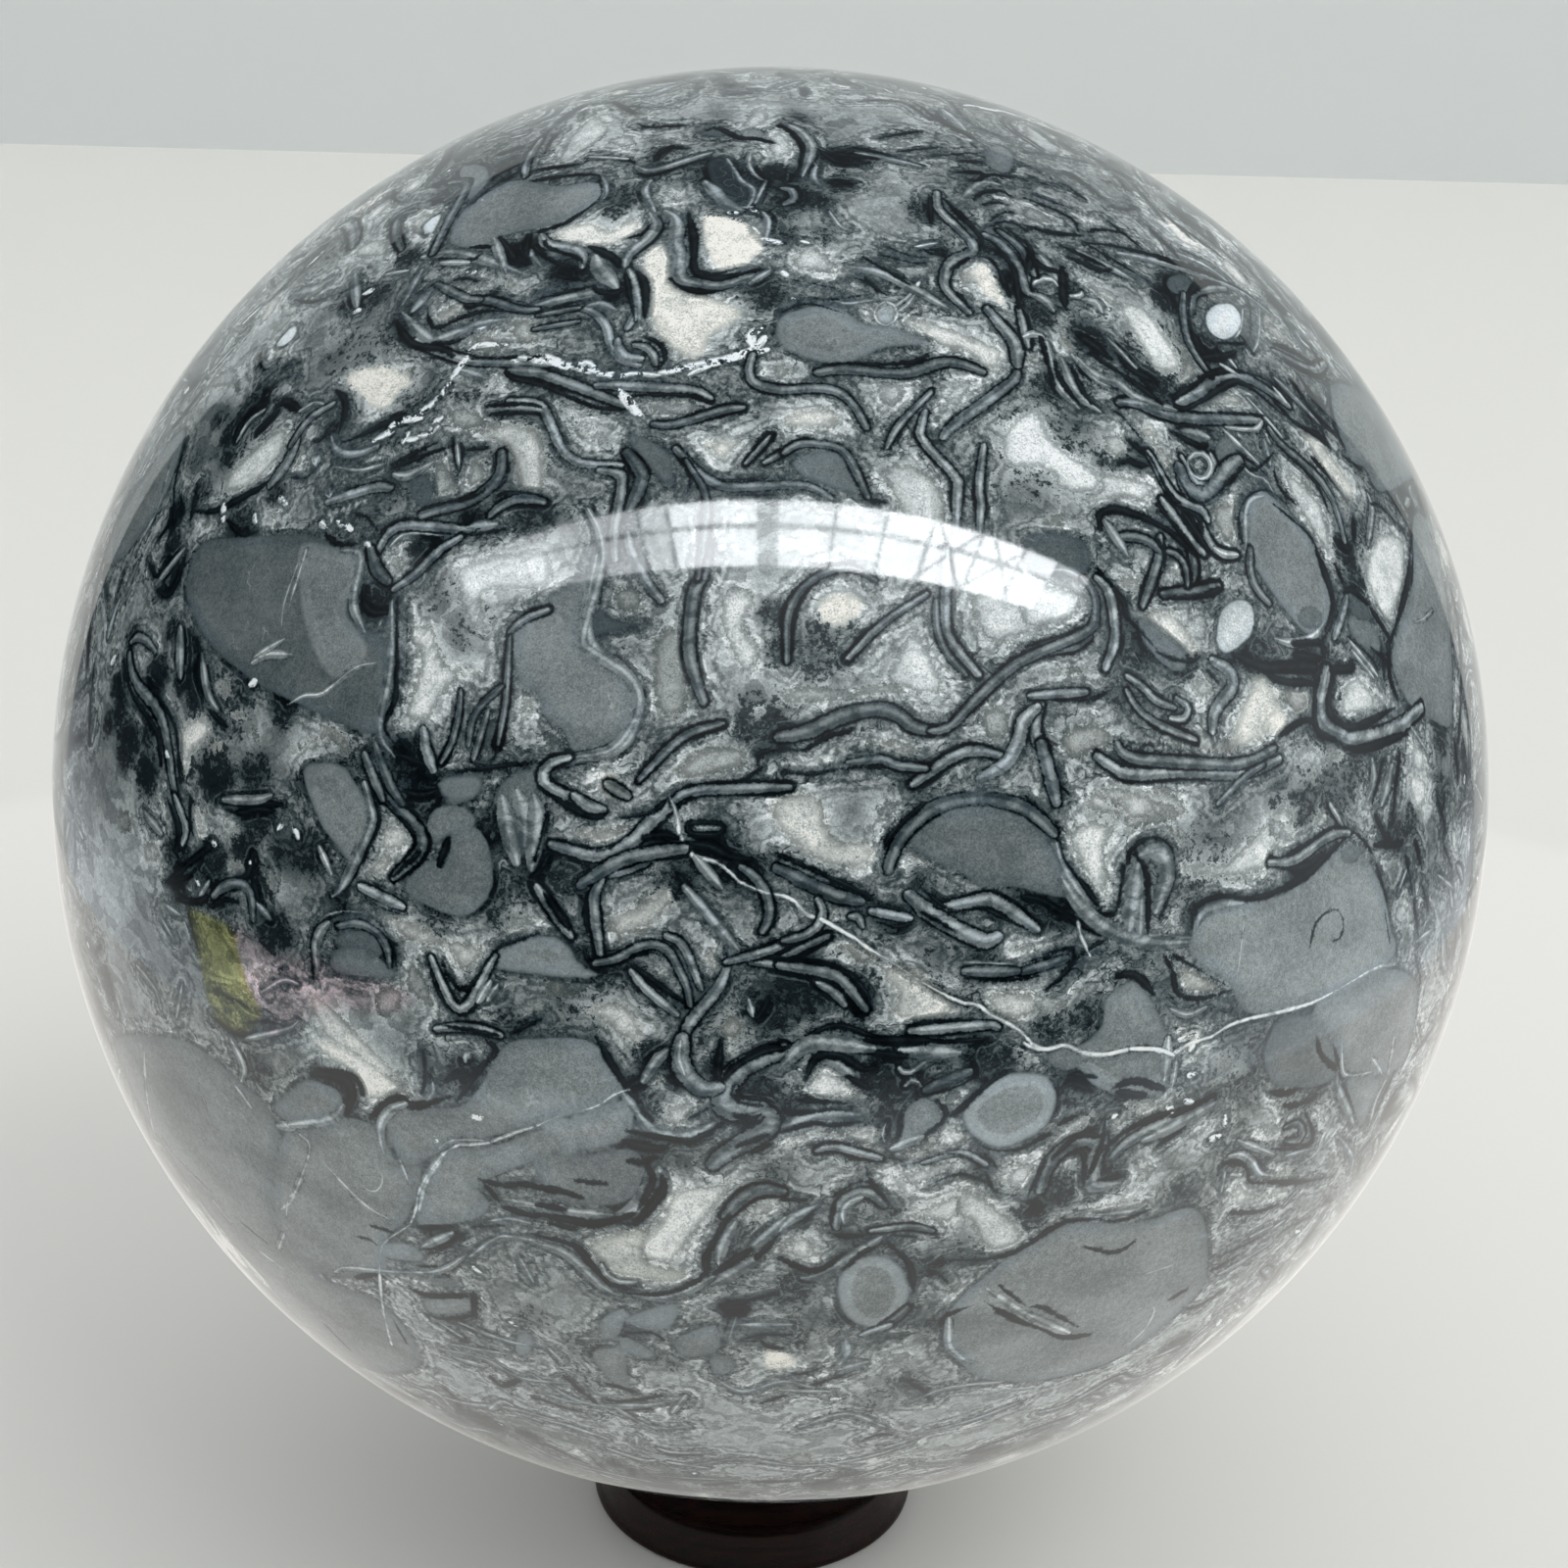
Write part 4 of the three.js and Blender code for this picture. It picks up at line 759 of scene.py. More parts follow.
# White cement in the hollows. Brightness, how creamy it is, then the outline.
cement_patches = [
    (85,10, 857,1493,923,1477,913,1489,883,1498), (85,40, 420,224,448,216,452,222,446,234,438,240,422,240),
    (85,20, 358,262,380,244,392,244,400,252,398,262), (70,20, 386,280,392,270,402,268,404,276,396,282),
    (60,20, 314,300,322,290,334,288,330,298,320,304), (80,20, 462,290,476,286,490,292,494,300,466,298),
    (70,30, 515,282,530,288,528,300,514,296), (60,20, 340,235,348,222,352,228,344,240),
    (60,30, 446,308,452,312,450,326,444,322),
    (115,70, 560,240,602,226,622,236,645,222,652,228,652,240,610,252),
    (115,100, 720,220,764,228,774,236,780,248,772,262,746,278,732,274,718,246), (100,90, 654,256,666,250,
        679,253,686,286,696,295,716,298,754,316,757,325,730,341,717,364,702,366,667,336),
    (85,30, 568,166,574,150,596,124,610,118,620,124,620,138,580,166),
    (90,10, 620,140,648,138,648,150,634,152,620,146), (60,10, 650,94,668,88,690,86,690,90),
    (95,10, 766,112,774,106,784,108,786,118,780,128,756,132),
    (100,10, 782,136,796,134,808,142,810,156,796,162,784,156), (70,20, 680,198,690,198,696,210,686,210),
    (60,20, 702,228,710,226,712,240), (80,30, 660,255,650,262,648,274,656,270),
    (50,10, 660,140,694,142,688,148,664,146), (105,100, 998,272,1006,270,1026,308,1022,314,992,284),
    (70,60, 978,275,988,274,990,290,980,292), (80,30, 816,252,826,245,858,274,856,280,816,276,806,268),
    (80,10, 1022,210,1036,205,1050,208,1046,220,1030,219), (60,10, 900,143,938,146,920,152,906,150),
    (60,20, 915,172,922,172,930,190,920,186), (100,70, 1182,218,1194,222,1228,254,1204,246),
    (95,50, 1250,262,1276,292,1268,292,1246,270), (60,10, 1046,124,1084,152,1078,158,1046,142),
    (55,10, 1110,148,1140,158,1128,162,1112,156), (60,10, 1045,208,1075,224,1060,228,1045,222),
    (70,20, 1104,228,1120,226,1134,232), (60,20, 1160,242,1172,244,1184,256,1172,256),
    (80,30, 1108,284,1136,298,1144,312,1134,312,1112,294), (60,20, 1165,200,1184,222,1172,218),
    (86,30, 226,500,238,478,280,440,290,436,294,446,290,460,262,494,238,504),
    (70,30, 276,368,280,356,298,350,282,370), (65,10, 208,398,228,378,240,374,248,400,242,404,234,396),
    (45,20, 180,420,202,392,210,400,192,424), (60,20, 204,530,214,524,218,534,208,540),
    (75,30, 274,528,278,520,288,518,284,526,276,534),
    (105,100, 352,385,390,373,403,376,422,385,418,395,408,400,396,415,380,415),
    (55,50, 384,362,400,360,423,385,423,376,395,355),
    (78,50, 500,435,520,430,545,436,555,450,555,500,530,500,518,460,482,440),
    (58,30, 445,465,455,470,470,500,455,505,440,505), (60,30, 480,470,492,470,498,485,485,500,475,495),
    (75,30, 470,380,515,392,490,395), (70,60, 445,320,470,310,475,318,455,328,445,328),
    (80,50, 480,345,500,340,520,352,515,360,490,362), (70,50, 520,335,535,325,550,332,550,350,530,350),
    (55,20, 335,330,350,335,355,345,335,342), (50,20, 365,338,398,340,380,344),
    (60,40, 300,462,308,468,305,480,298,478), (60,30, 455,420,480,415,500,432,480,440,460,435),
    (100,20, 590,418,622,448,618,455,605,452,590,435,583,422),
    (100,70, 722,448,750,448,755,455,745,465,738,470,718,455), (70,30, 785,372,805,370,806,388,790,388),
    (100,100, 891,315,900,311,909,315,912,322,905,329,895,329),
    (95,50, 925,330,940,325,1010,350,1025,360,1020,375,1005,385,998,370,980,358,960,355),
    (75,10, 893,392,920,390,926,400,915,415,900,413), (95,10, 970,392,990,388,988,405,970,418,960,420),
    (95,70, 798,427,815,418,848,417,856,425,850,437,805,436),
    (85,30, 905,475,930,472,960,495,966,520,960,545,930,540,900,487),
    (60,20, 657,405,720,412,700,425,665,422),
    (100,30, 1140,312,1158,310,1172,318,1204,364,1204,378,1190,382,1176,374),
    (60,50, 1194,330,1222,380,1214,392,1200,388,1206,370), (110,10, 1046,420,1060,416,1078,450,1122,482,
        1124,500,1104,505,1080,498,1070,482,1030,476,1020,450,1030,428),
    (95,20, 1120,480,1176,492,1178,505,1166,515,1146,510,1112,516,1104,506,1122,498),
    (80,30, 1130,440,1146,445,1152,458,1146,468,1132,465,1126,452),
    (95,60, 1162,436,1172,434,1180,440,1182,452,1164,444), (70,40, 1174,452,1188,456,1204,488,1194,486),
    (62,50, 1236,520,1248,512,1262,512,1258,552,1246,548), (60,30, 1115,372,1125,380,1118,386,1106,376),
    (70,40, 1228,404,1244,398,1262,402,1270,414,1230,416),
    (70,40, 1284,322,1292,318,1302,330,1304,348,1292,344),
    (60,30, 1070,525,1086,525,1090,535,1076,540,1062,536), (60,60, 1082,330,1096,358,1088,356,1080,344),
    (60,40, 1060,355,1058,370,1048,372,1046,362),
    (85,80, 1330,446,1340,444,1372,484,1382,502,1376,512,1368,508),
    (84,20, 1312,480,1344,508,1352,524,1358,570,1318,508),
    (97,20, 1402,548,1412,542,1426,545,1434,556,1432,600,1422,630,1414,640,1392,585),
    (62,50, 1295,328,1320,352,1294,342), (60,30, 1325,480,1338,486,1342,500,1330,496),
    (110,50, 184,748,204,730,212,732,216,745,202,764,196,768,190,794),
    (80,60, 214,758,226,756,228,764,216,768), (75,40, 220,698,232,694,236,704,230,714),
    (75,30, 236,726,248,724,254,730,248,736,238,734), (60,10, 140,656,152,654,160,664,148,666),
    (60,20, 256,740,262,742,266,758,260,764), (100,20, 418,640,430,635,445,640,455,675,480,680,485,690,465,
        695,447,722,440,735,420,738,413,728,428,670,415,655),
    (90,10, 467,580,530,560,560,560,560,600,500,605,495,620,503,640,498,650,485,645,472,625),
    (85,20, 530,702,540,700,545,720,538,735,530,725), (90,20, 398,568,410,563,412,575,404,584,396,578),
    (60,30, 455,770,465,745,470,755,462,775,452,780),
    (60,50, 300,758,320,750,335,735,360,760,350,770,335,755,300,770),
    (36,30, 490,735,512,735,505,760,490,775), (100,90, 610,795,625,788,645,812,625,815,612,805),
    (65,40, 697,775,720,762,750,760,765,770,755,785,700,797,690,788),
    (95,20, 740,600,765,600,772,615,762,640,778,660,770,685,755,685,742,660,733,630),
    (50,40, 670,650,695,640,704,710,690,735,670,725,665,690), (45,40, 625,600,650,600,655,622,632,625),
    (90,0, 768,722,776,718,783,725,776,731),
    (100,100, 838,612,860,604,880,612,877,628,860,640,840,635,833,622),
    (95,10, 905,685,932,642,962,690,957,712,908,700),
    (75,20, 800,703,830,698,860,703,905,695,930,706,900,712,800,720),
    (85,20, 990,608,1020,598,1060,600,1075,620,1060,642,1030,655,1008,655,995,635),
    (60,30, 1000,725,1020,718,1032,735,1024,757,1004,750),
    (72,40, 860,762,905,754,932,760,930,772,905,765,870,768), (90,10, 818,778,835,770,838,774),
    (40,30, 600,750,620,740,600,760,560,762,548,750),
    (95,10, 1045,600,1070,595,1100,605,1105,620,1090,635,1045,640),
    (95,60, 1165,630,1185,622,1205,632,1225,665,1213,668),
    (70,40, 1140,592,1152,585,1163,592,1158,602,1145,603),
    (75,30, 1215,695,1230,690,1242,700,1235,712,1222,715),
    (88,80, 1255,757,1280,692,1298,700,1305,720,1300,742,1285,755,1268,762),
    (80,0, 1102,725,1115,722,1118,733,1105,736), (60,0, 1105,700,1120,690,1125,705,1110,712),
    (80,30, 1110,812,1135,802,1200,810,1205,835,1115,830), (70,20, 1195,575,1208,578,1206,592,1194,588),
    (55,40, 1225,742,1260,760,1250,772,1215,765,1190,755,1200,745),
    (55,50, 1085,745,1125,738,1135,760,1110,770,1090,775), (60,30, 1080,682,1100,680,1105,690,1085,692),
    (95,10, 1374,694,1388,690,1404,708,1416,710,1418,720,1408,726,1380,732,1366,726),
    (75,20, 1390,742,1432,740,1424,750,1390,756),
    (85,0, 1320,766,1332,760,1346,764,1352,774,1350,786,1322,780),
    (105,10, 1440,762,1450,760,1456,775,1450,790,1440,782),
    (110,10, 1436,792,1448,788,1456,802,1454,820,1444,826),
    (95,90, 1296,726,1306,722,1314,732,1310,748,1286,745), (58,60, 1306,700,1336,706,1334,722,1320,728),
    (75,30, 1352,768,1366,764,1372,774,1358,778), (105,30, 194,826,202,824,212,850,204,854),
    (70,30, 226,832,244,848,240,854,230,846), (70,20, 234,880,246,880,250,892,242,896,234,892),
    (80,20, 146,862,156,858,164,866,160,880,148,880), (60,20, 264,884,276,888,284,900,280,912),
    (70,70, 232,1006,240,1000,252,1004,246,1014,236,1014), (85,40, 254,992,272,986,272,996,260,1002),
    (60,10, 128,1040,138,1042,140,1060,130,1066), (40,50, 120,826,134,830,132,850,122,846),
    (95,40, 388,845,405,840,418,848,418,862,408,868,395,870,388,860),
    (80,50, 375,890,385,875,400,872,395,890,380,898),
    (80,60, 392,935,410,935,450,955,495,966,490,980,475,990,465,985,455,968,430,965,410,955),
    (85,60, 315,1020,330,1018,420,1108,410,1115,345,1070,330,1055),
    (60,30, 385,1010,400,1005,412,1015,405,1035,390,1040,382,1025),
    (80,20, 515,940,530,933,548,935,545,945,525,950), (60,30, 420,980,435,1000,445,1030,425,1020,412,1000),
    (80,60, 583,840,600,846,640,842,632,855,612,862,590,855),
    (70,70, 625,930,645,928,680,905,688,915,680,930,665,945,640,955,625,955),
    (55,30, 660,905,665,915,650,925,640,928), (60,40, 665,880,677,875,672,888,662,888),
    (60,30, 655,985,672,990,695,1010,665,1000),
    (90,50, 592,1034,618,1022,644,1028,655,1051,647,1068,612,1040),
    (60,60, 740,1035,755,1040,757,1055,735,1062), (80,20, 690,840,697,835,697,850,690,850),
    (65,50, 720,965,735,975,732,990,722,985), (36,60, 560,985,580,1005,600,1015,560,1015),
    (75,30, 928,862,952,875,945,884,925,875), (80,20, 1000,888,1012,883,1022,887,1016,895,1004,897),
    (85,70, 790,815,835,812,850,855,880,858,895,870,880,885,850,885,820,870,790,840),
    (60,0, 895,825,905,815,918,820,910,835,898,838),
    (80,70, 905,985,925,985,950,1000,980,1030,960,1040,930,1042,910,1035,915,1010,900,1000),
    (85,50, 1008,1012,1055,1015,1060,1032,1035,1042,1015,1035),
    (80,20, 1032,968,1045,960,1058,962,1055,972,1035,975), (65,30, 845,918,858,922,855,935,845,935),
    (55,50, 850,962,880,965,900,980,880,985,860,975), (80,10, 966,998,980,998,980,1012,968,1010),
    (60,40, 875,875,860,890,840,890),
    (95,30, 1095,845,1112,835,1140,845,1130,862,1132,905,1125,920,1112,905,1090,860),
    (90,20, 1260,870,1310,820,1320,850,1300,870,1295,885,1270,895,1215,895,1200,880,1245,880),
    (80,40, 1130,800,1195,820,1205,835,1180,832,1150,840,1145,825,1120,815),
    (75,80, 1205,985,1250,1008,1232,1013,1212,1010),
    (60,30, 1200,860,1190,845,1170,843,1150,850,1150,840,1175,833,1200,843,1212,860),
    (80,20, 1055,1015,1095,1018,1080,1032,1060,1035), (80,60, 1205,1055,1220,1048,1225,1065,1205,1072),
    (85,10, 1296,830,1324,852,1316,862,1296,852), (70,20, 1340,832,1352,828,1356,842,1344,848),
    (90,10, 1390,812,1396,812,1396,826,1390,824), (70,20, 1366,845,1394,862,1392,870,1366,855),
    (90,0, 1486,850,1494,848,1498,862,1490,870,1484,862), (90,20, 1434,924,1440,922,1440,936,1434,936),
    (60,20, 1405,870,1428,872,1414,878), (45,40, 126,1060,138,1062,138,1110),
    (105,70, 322,1062,334,1060,364,1074,418,1112,418,1120,402,1116,390,1124,376,1122,362,1098,326,1074),
    (75,20, 404,1100,418,1102,420,1112,410,1112), (60,20, 460,1102,470,1106,464,1114,456,1110),
    (80,30, 735,1062,750,1066,752,1080,738,1074),
    (90,30, 682,1128,708,1122,714,1132,702,1142,698,1152,684,1150,678,1140),
    (60,30, 712,1120,724,1124,718,1134,708,1130),
    (100,40, 680,1222,690,1212,740,1206,748,1210,708,1262,690,1288,672,1290,656,1284,648,1270,672,1244),
    (72,80, 616,1262,648,1252,660,1258,660,1288,698,1296,694,1308,640,1304,622,1296,600,1270),
    (85,40, 764,1236,776,1226,792,1222,800,1226,770,1246), (65,40, 782,1262,796,1262,800,1278,788,1276),
    (60,20, 785,1176,812,1162,802,1176), (60,30, 660,1098,672,1092,676,1104,664,1108),
    (55,20, 590,1254,616,1252,604,1262), (110,20, 824,1104,844,1090,878,1112,872,1116,842,1124,820,1112),
    (90,30, 800,1164,812,1156,850,1150,900,1152,896,1162,880,1168,848,1160,828,1162,800,1172),
    (105,10, 908,1192,924,1194,978,1182,984,1186,958,1200,936,1210,900,1196),
    (110,10, 1026,1200,1034,1190,1048,1186,1056,1188,1050,1204,1040,1214,1028,1210),
    (100,20, 932,1236,984,1214,990,1220,982,1236,972,1248,934,1242),
    (115,0, 1004,1244,1016,1238,1030,1242,1034,1252,1026,1266,1012,1270,1002,1262),
    (80,20, 982,1208,1040,1248,1040,1270,1016,1278,1000,1270,990,1250,976,1240),
    (95,30, 806,1264,820,1260,838,1280,830,1286,812,1286,804,1278),
    (70,10, 838,1198,850,1196,854,1206,844,1208),
    (85,10, 962,1120,976,1112,984,1114,968,1134,972,1150,974,1158,966,1156),
    (60,30, 920,1172,950,1162,960,1166,930,1180),
    (60,10, 1022,1180,1034,1184,1046,1180,1042,1188,1026,1190),
    (60,20, 970,1312,988,1314,984,1326,970,1322),
    (100,10, 1084,1154,1090,1142,1102,1138,1112,1144,1092,1160),
    (85,20, 1144,1124,1176,1138,1186,1130,1180,1124,1190,1118,1180,1112,1172,1120),
    (70,30, 1132,1142,1142,1138,1148,1144,1140,1150), (110,0, 1140,1226,1158,1206,1168,1216,1148,1232),
    (85,30, 1110,1234,1164,1222,1176,1226,1164,1238,1140,1242),
    (70,20, 1164,1190,1176,1184,1180,1196,1170,1204), (70,10, 1204,1164,1224,1172,1216,1174,1204,1172),
    (95,30, 1256,1216,1264,1204,1282,1218,1310,1216,1302,1224,1266,1232,1256,1226),
    (90,10, 1284,1146,1298,1144,1306,1150,1304,1160,1290,1160),
    (80,10, 1294,1120,1306,1120,1310,1132,1298,1130), (70,10, 1298,1100,1310,1098,1312,1112,1300,1110),
    (75,10, 1220,1142,1232,1142,1240,1150,1226,1150), (60,20, 1245,1244,1252,1246,1248,1262,1242,1256),
    (60,10, 1248,1130,1254,1128,1254,1142,1248,1142), (80,20, 1215,1062,1230,1066,1232,1080,1216,1080),
    (60,20, 1240,1082,1256,1080,1258,1094,1246,1096), (85,10, 1296,1146,1306,1148,1304,1158,1296,1160),
    (75,10, 1322,1136,1330,1132,1330,1146,1322,1148,1314,1152),
    (70,10, 1326,1154,1332,1158,1330,1166,1322,1168), (80,10, 1346,1138,1362,1160,1354,1156,1342,1142),
    (80,40, 1300,1194,1316,1192,1320,1198,1304,1202), (85,50, 1296,1212,1308,1208,1312,1214,1300,1220),
    (60,10, 1352,1178,1362,1176,1362,1190,1352,1194), (60,10, 306,1316,316,1310,326,1314,318,1322,308,1322),
    (55,10, 502,1436,512,1432,522,1438,512,1442), (50,10, 458,1386,494,1394,480,1398),
    (50,10, 520,1320,532,1326,530,1340,522,1336), (110,100, 780,1378,788,1376,812,1386,806,1396,782,1396),
    (60,20, 774,1436,800,1430,796,1440,780,1442), (60,20, 684,1324,700,1320,696,1330,684,1334),
    (45,20, 580,1410,610,1422,592,1422), (75,10, 904,1382,928,1380,932,1388,906,1390),
    (60,10, 966,1316,978,1312,986,1316,980,1322,966,1322), (60,10, 890,1488,906,1478,916,1480,906,1488),
    (60,40, 804,1486,820,1482,832,1488,826,1494,806,1492), (60,20, 795,1430,804,1424,808,1432,798,1438),
    (60,10, 1002,1314,1012,1314,1020,1324,1008,1322),
]
# Places where the ground is full of black specks: x, y, the radius in pixels, and the depth.
murky_spots = [
    (220,725,55,60), (200,800,40,50), (250,465,50,50), (600,1020,45,50), (540,455,45,50), (1070,440,55,50),
    (750,212,40,50), (1062,470,50,50), (1182,350,45,50), (372,358,50,50), (1360,772,60,60),
    (1222,880,40,50), (742,1030,45,50), (964,1000,35,50), (1270,1090,50,50), (1402,560,45,50),
    (122,722,18,100), (186,695,14,100), (190,782,16,90), (176,642,14,80), (520,165,20,70), (515,180,16,70),
    (450,200,16,70), (405,240,14,60), (415,265,16,90), (385,300,22,70), (530,260,22,100), (545,250,16,100),
    (510,300,16,60), (360,310,18,70), (735,178,26,100), (640,200,22,60), (628,214,14,70), (550,250,18,90),
    (580,275,20,80), (632,300,16,90), (790,180,24,100), (668,170,16,70), (790,215,20,70), (780,300,22,80),
    (600,276,14,90), (640,270,14,90), (675,155,14,60), (860,160,22,100), (812,200,22,100), (838,205,14,90),
    (860,188,16,90), (942,215,18,80), (1035,290,18,100), (960,250,14,50), (1010,255,14,80), (800,240,18,70),
    (840,240,14,60), (816,120,14,50), (990,175,14,50), (1195,290,20,90), (1190,308,18,100),
    (1095,295,14,80), (1150,205,14,50), (260,415,24,90), (238,440,20,90), (232,470,16,80), (245,535,22,80),
    (210,500,16,60), (180,525,20,90), (175,560,18,100), (225,425,16,70), (280,505,14,80), (200,470,14,50),
    (405,335,20,70), (425,400,30,50), (350,425,24,50), (400,500,20,50), (545,525,24,80), (435,560,20,90),
    (400,440,22,60), (480,530,14,80), (480,400,18,50), (1110,345,22,100), (1180,388,24,90),
    (1230,355,22,90), (1070,395,18,70), (1160,465,18,70), (1130,470,16,60), (1215,545,20,80),
    (1060,320,20,80), (1150,360,16,70), (1306,400,18,70), (1340,430,22,80), (1345,410,14,70),
    (1370,560,16,90), (1425,515,14,60), (175,590,18,100), (160,690,22,100), (195,690,16,100),
    (130,760,26,100), (150,790,22,100), (190,660,20,90), (200,715,16,100), (135,650,16,80),
    (220,790,28,100), (260,785,22,80), (250,700,20,70), (290,722,18,90), (120,700,16,90), (110,740,14,80),
    (150,750,14,90), (385,612,20,90), (480,640,22,60), (455,605,20,50), (420,775,24,90), (360,775,22,60),
    (435,810,24,90), (310,800,14,70), (838,662,30,65), (866,650,16,60), (780,735,28,70), (790,625,14,80),
    (795,665,14,80), (935,790,22,70), (1155,655,28,70), (1205,672,22,80), (1140,708,14,70),
    (1285,672,26,70), (1140,612,18,60), (1195,650,14,60), (1385,590,16,90), (1376,568,14,100),
    (1412,665,16,70), (1335,675,20,70), (1440,720,18,50), (1470,755,20,70), (1352,745,14,70),
    (1400,770,18,60), (1310,815,22,60), (1470,800,16,60), (1360,672,14,50), (180,870,22,90),
    (215,880,26,90), (250,870,20,100), (270,900,18,90), (260,830,26,90), (290,870,20,80), (280,950,24,90),
    (180,905,16,90), (230,925,16,60), (150,830,14,50), (145,820,16,50), (315,870,24,80), (395,970,14,90),
    (345,920,16,70), (380,905,16,60), (505,850,20,90), (500,910,22,70), (545,900,24,70), (520,1045,16,60),
    (440,940,20,60), (510,935,18,60), (580,895,22,70), (730,870,24,90), (690,895,20,80), (760,890,20,70),
    (620,985,18,80), (660,1005,22,60), (790,1030,24,80), (820,1005,30,95), (560,880,18,80), (670,852,14,80),
    (1080,925,26,80), (1050,905,22,60), (910,945,18,60), (960,920,16,50), (880,1010,20,60),
    (1000,975,18,50), (945,893,14,60), (880,925,16,60), (1215,935,14,70), (1070,1045,20,70),
    (1105,1035,18,70), (1330,825,20,70), (1425,855,22,80), (1440,835,18,80), (1325,890,14,90),
    (1325,1060,20,50), (190,1105,14,50), (262,1092,22,70), (350,1120,22,70), (330,1098,14,60),
    (470,1095,20,80), (440,1085,20,50), (390,1252,20,50), (450,1262,24,60), (665,1078,18,90),
    (650,1108,14,90), (690,1100,14,90), (660,1130,18,70), (735,1090,14,80), (770,1115,22,80),
    (650,1175,18,70), (690,1175,24,50), (760,1142,16,60), (640,1240,18,70), (730,1180,18,50),
    (770,1260,20,50), (745,1275,16,50), (740,1230,16,50), (790,1195,20,50), (905,1100,26,100),
    (930,1105,20,80), (905,1145,20,80), (880,1135,20,50), (1010,1080,26,80), (1005,1085,14,60),
    (960,1095,16,60), (805,1125,22,70), (870,1270,22,60), (990,1275,22,60), (950,1290,18,70),
    (1000,1190,14,60), (1050,1235,14,80), (815,1245,18,50), (910,1230,16,50), (815,1310,20,60),
    (1095,1110,26,80), (1150,1112,22,90), (1080,1215,20,80), (1050,1240,20,80), (1108,1155,14,70),
    (1135,1190,16,60), (1115,1135,18,60), (1190,1225,18,50), (1310,1085,24,60), (1345,1115,16,50),
    (1355,1075,14,60), (1325,1190,14,50), (480,1360,30,50), (545,1345,20,50), (510,1470,16,50),
    (750,1335,16,100), (640,1360,22,60), (595,1375,22,50), (600,1410,20,50), (680,1390,20,50),
    (770,1370,20,50), (810,1320,22,70), (830,1350,24,50), (860,1345,14,60), (935,1345,16,50),
    (955,1350,14,60), (810,1375,18,50), (925,1415,22,60), (895,1430,26,50), (1200,1322,16,50),
]
# Places where the ground is paler: x, y, the radius in pixels, and the depth in hundredths. The large spots
# round the rim and those just under the window's reflection are painted haze: the table, wall and window
# mirrored in the polish, painted into the stone's colour.
pale_spots_and_painted_haze = [
    (250,1180,130,45), (420,1350,140,55), (620,1420,130,50), (800,1440,140,50), (1000,1450,130,50),
    (1200,1370,130,50), (1330,1220,120,40), (1400,1060,90,35), (110,900,60,50), (100,1000,60,45),
    (170,1090,90,45), (760,1290,110,30), (1080,1200,120,30), (640,120,90,40), (420,170,60,40),
    (900,110,90,40),
    (820,630,120,55), (1100,500,90,30), (560,1230,110,35), (1075,800,60,40), (1165,965,55,60),
    (470,1075,60,40), (930,1280,60,35), (495,730,40,40), (1130,240,60,35), (640,160,50,30),
    (1010,1075,50,35), (860,900,60,35), (896,215,70,30), (1160,912,40,40), (1072,788,45,40), (1200,548,50,35),
    (150,850,70,45), (900,1082,40,35), (1085,1104,40,40), (842,922,45,35), (980,822,45,35), (632,806,40,35),
    (412,440,45,35), (172,524,45,35), (1200,1022,40,35), (540,182,50,30), (980,152,50,35), (1255,590,35,30),
]


def on_ball(pixels):
    """Unit vectors from the ball's centre to where the camera's rays through these pixels meet the ball."""
    pixels = np.asarray(pixels, dtype=float).reshape(-1, 2)
    aside = (pixels[:, 0] - BALL_CENTRE_PIXEL[0]) / focal_pixels
    above = (BALL_CENTRE_PIXEL[1] - pixels[:, 1]) / focal_pixels
    ray = aside[:, None] * np.array(camera_right) + above[:, None] * np.array(camera_up)
    ray -= np.array(camera_back)
    ray /= np.linalg.norm(ray, axis=1)[:, None]
    eye = np.array(camera_back) * CAMERA_DISTANCE_IN_RADII
    half_way = ray @ eye
    under_root = np.maximum(half_way**2 - (eye @ eye - 1), 0.0)
    reached = eye + ray * (-half_way - np.sqrt(under_root))[:, None]
    return reached / np.linalg.norm(reached, axis=1)[:, None]


def smooth_line(points, closed=False, step=0.008):
    """Points on the unit sphere, about a step apart, on a smooth curve through the given ones."""
    if closed:
        points = np.concatenate([points[-1:], points, points[:2]])
    else:
        points = np.concatenate([points[:1] * 2 - points[1:2], points, points[-1:] * 2 - points[-2:-1]])
    pieces = []
    for first, second, third, fourth in zip(points, points[1:], points[2:], points[3:]):
        count = max(2, int(np.linalg.norm(third - second) / step) + 1)
        t = np.linspace(0, 1, count, endpoint=False)[:, None]
        pieces.append(
            0.5 * (2 * second + (third - first) * t + (2 * first - 5 * second + 4 * third - fourth) * t**2
                   + (3 * second - first - 3 * third + fourth) * t**3)
        )
    pieces.append(points[-2][None, :])
    line = np.concatenate(pieces)
    return line / np.linalg.norm(line, axis=1)[:, None]


ball_points = np.empty(len(ball_mesh.vertices) * 3, dtype=np.float64)
ball_mesh.vertices.foreach_get("co", ball_points)
ball_points = ball_points.reshape(-1, 3) - np.array(ball_centre)
ball_points /= np.linalg.norm(ball_points, axis=1)[:, None]
point_count = len(ball_points)
radius_mm = ball_radius * 1000
frontness = ball_points @ np.array(camera_back)
crowding = (BALL_FRONT_CROWDING**2 * (1 - frontness) + 1 + frontness) / (2 * BALL_FRONT_CROWDING)
cell_mm = crowding * radius_mm * math.pi / 2 / BALL_CELLS_PER_SIDE


def points_near(line, reach):
    """The numbers of the ball's points that may lie within reach of a line, in millimetres."""
    middle = line.mean(axis=0)
    middle /= np.linalg.norm(middle)
    angle = 2 * math.asin(min(1.0, np.linalg.norm(line - middle, axis=1).max() / 2)) + reach / radius_mm
    return np.flatnonzero(ball_points @ middle > math.cos(min(angle, math.pi)))


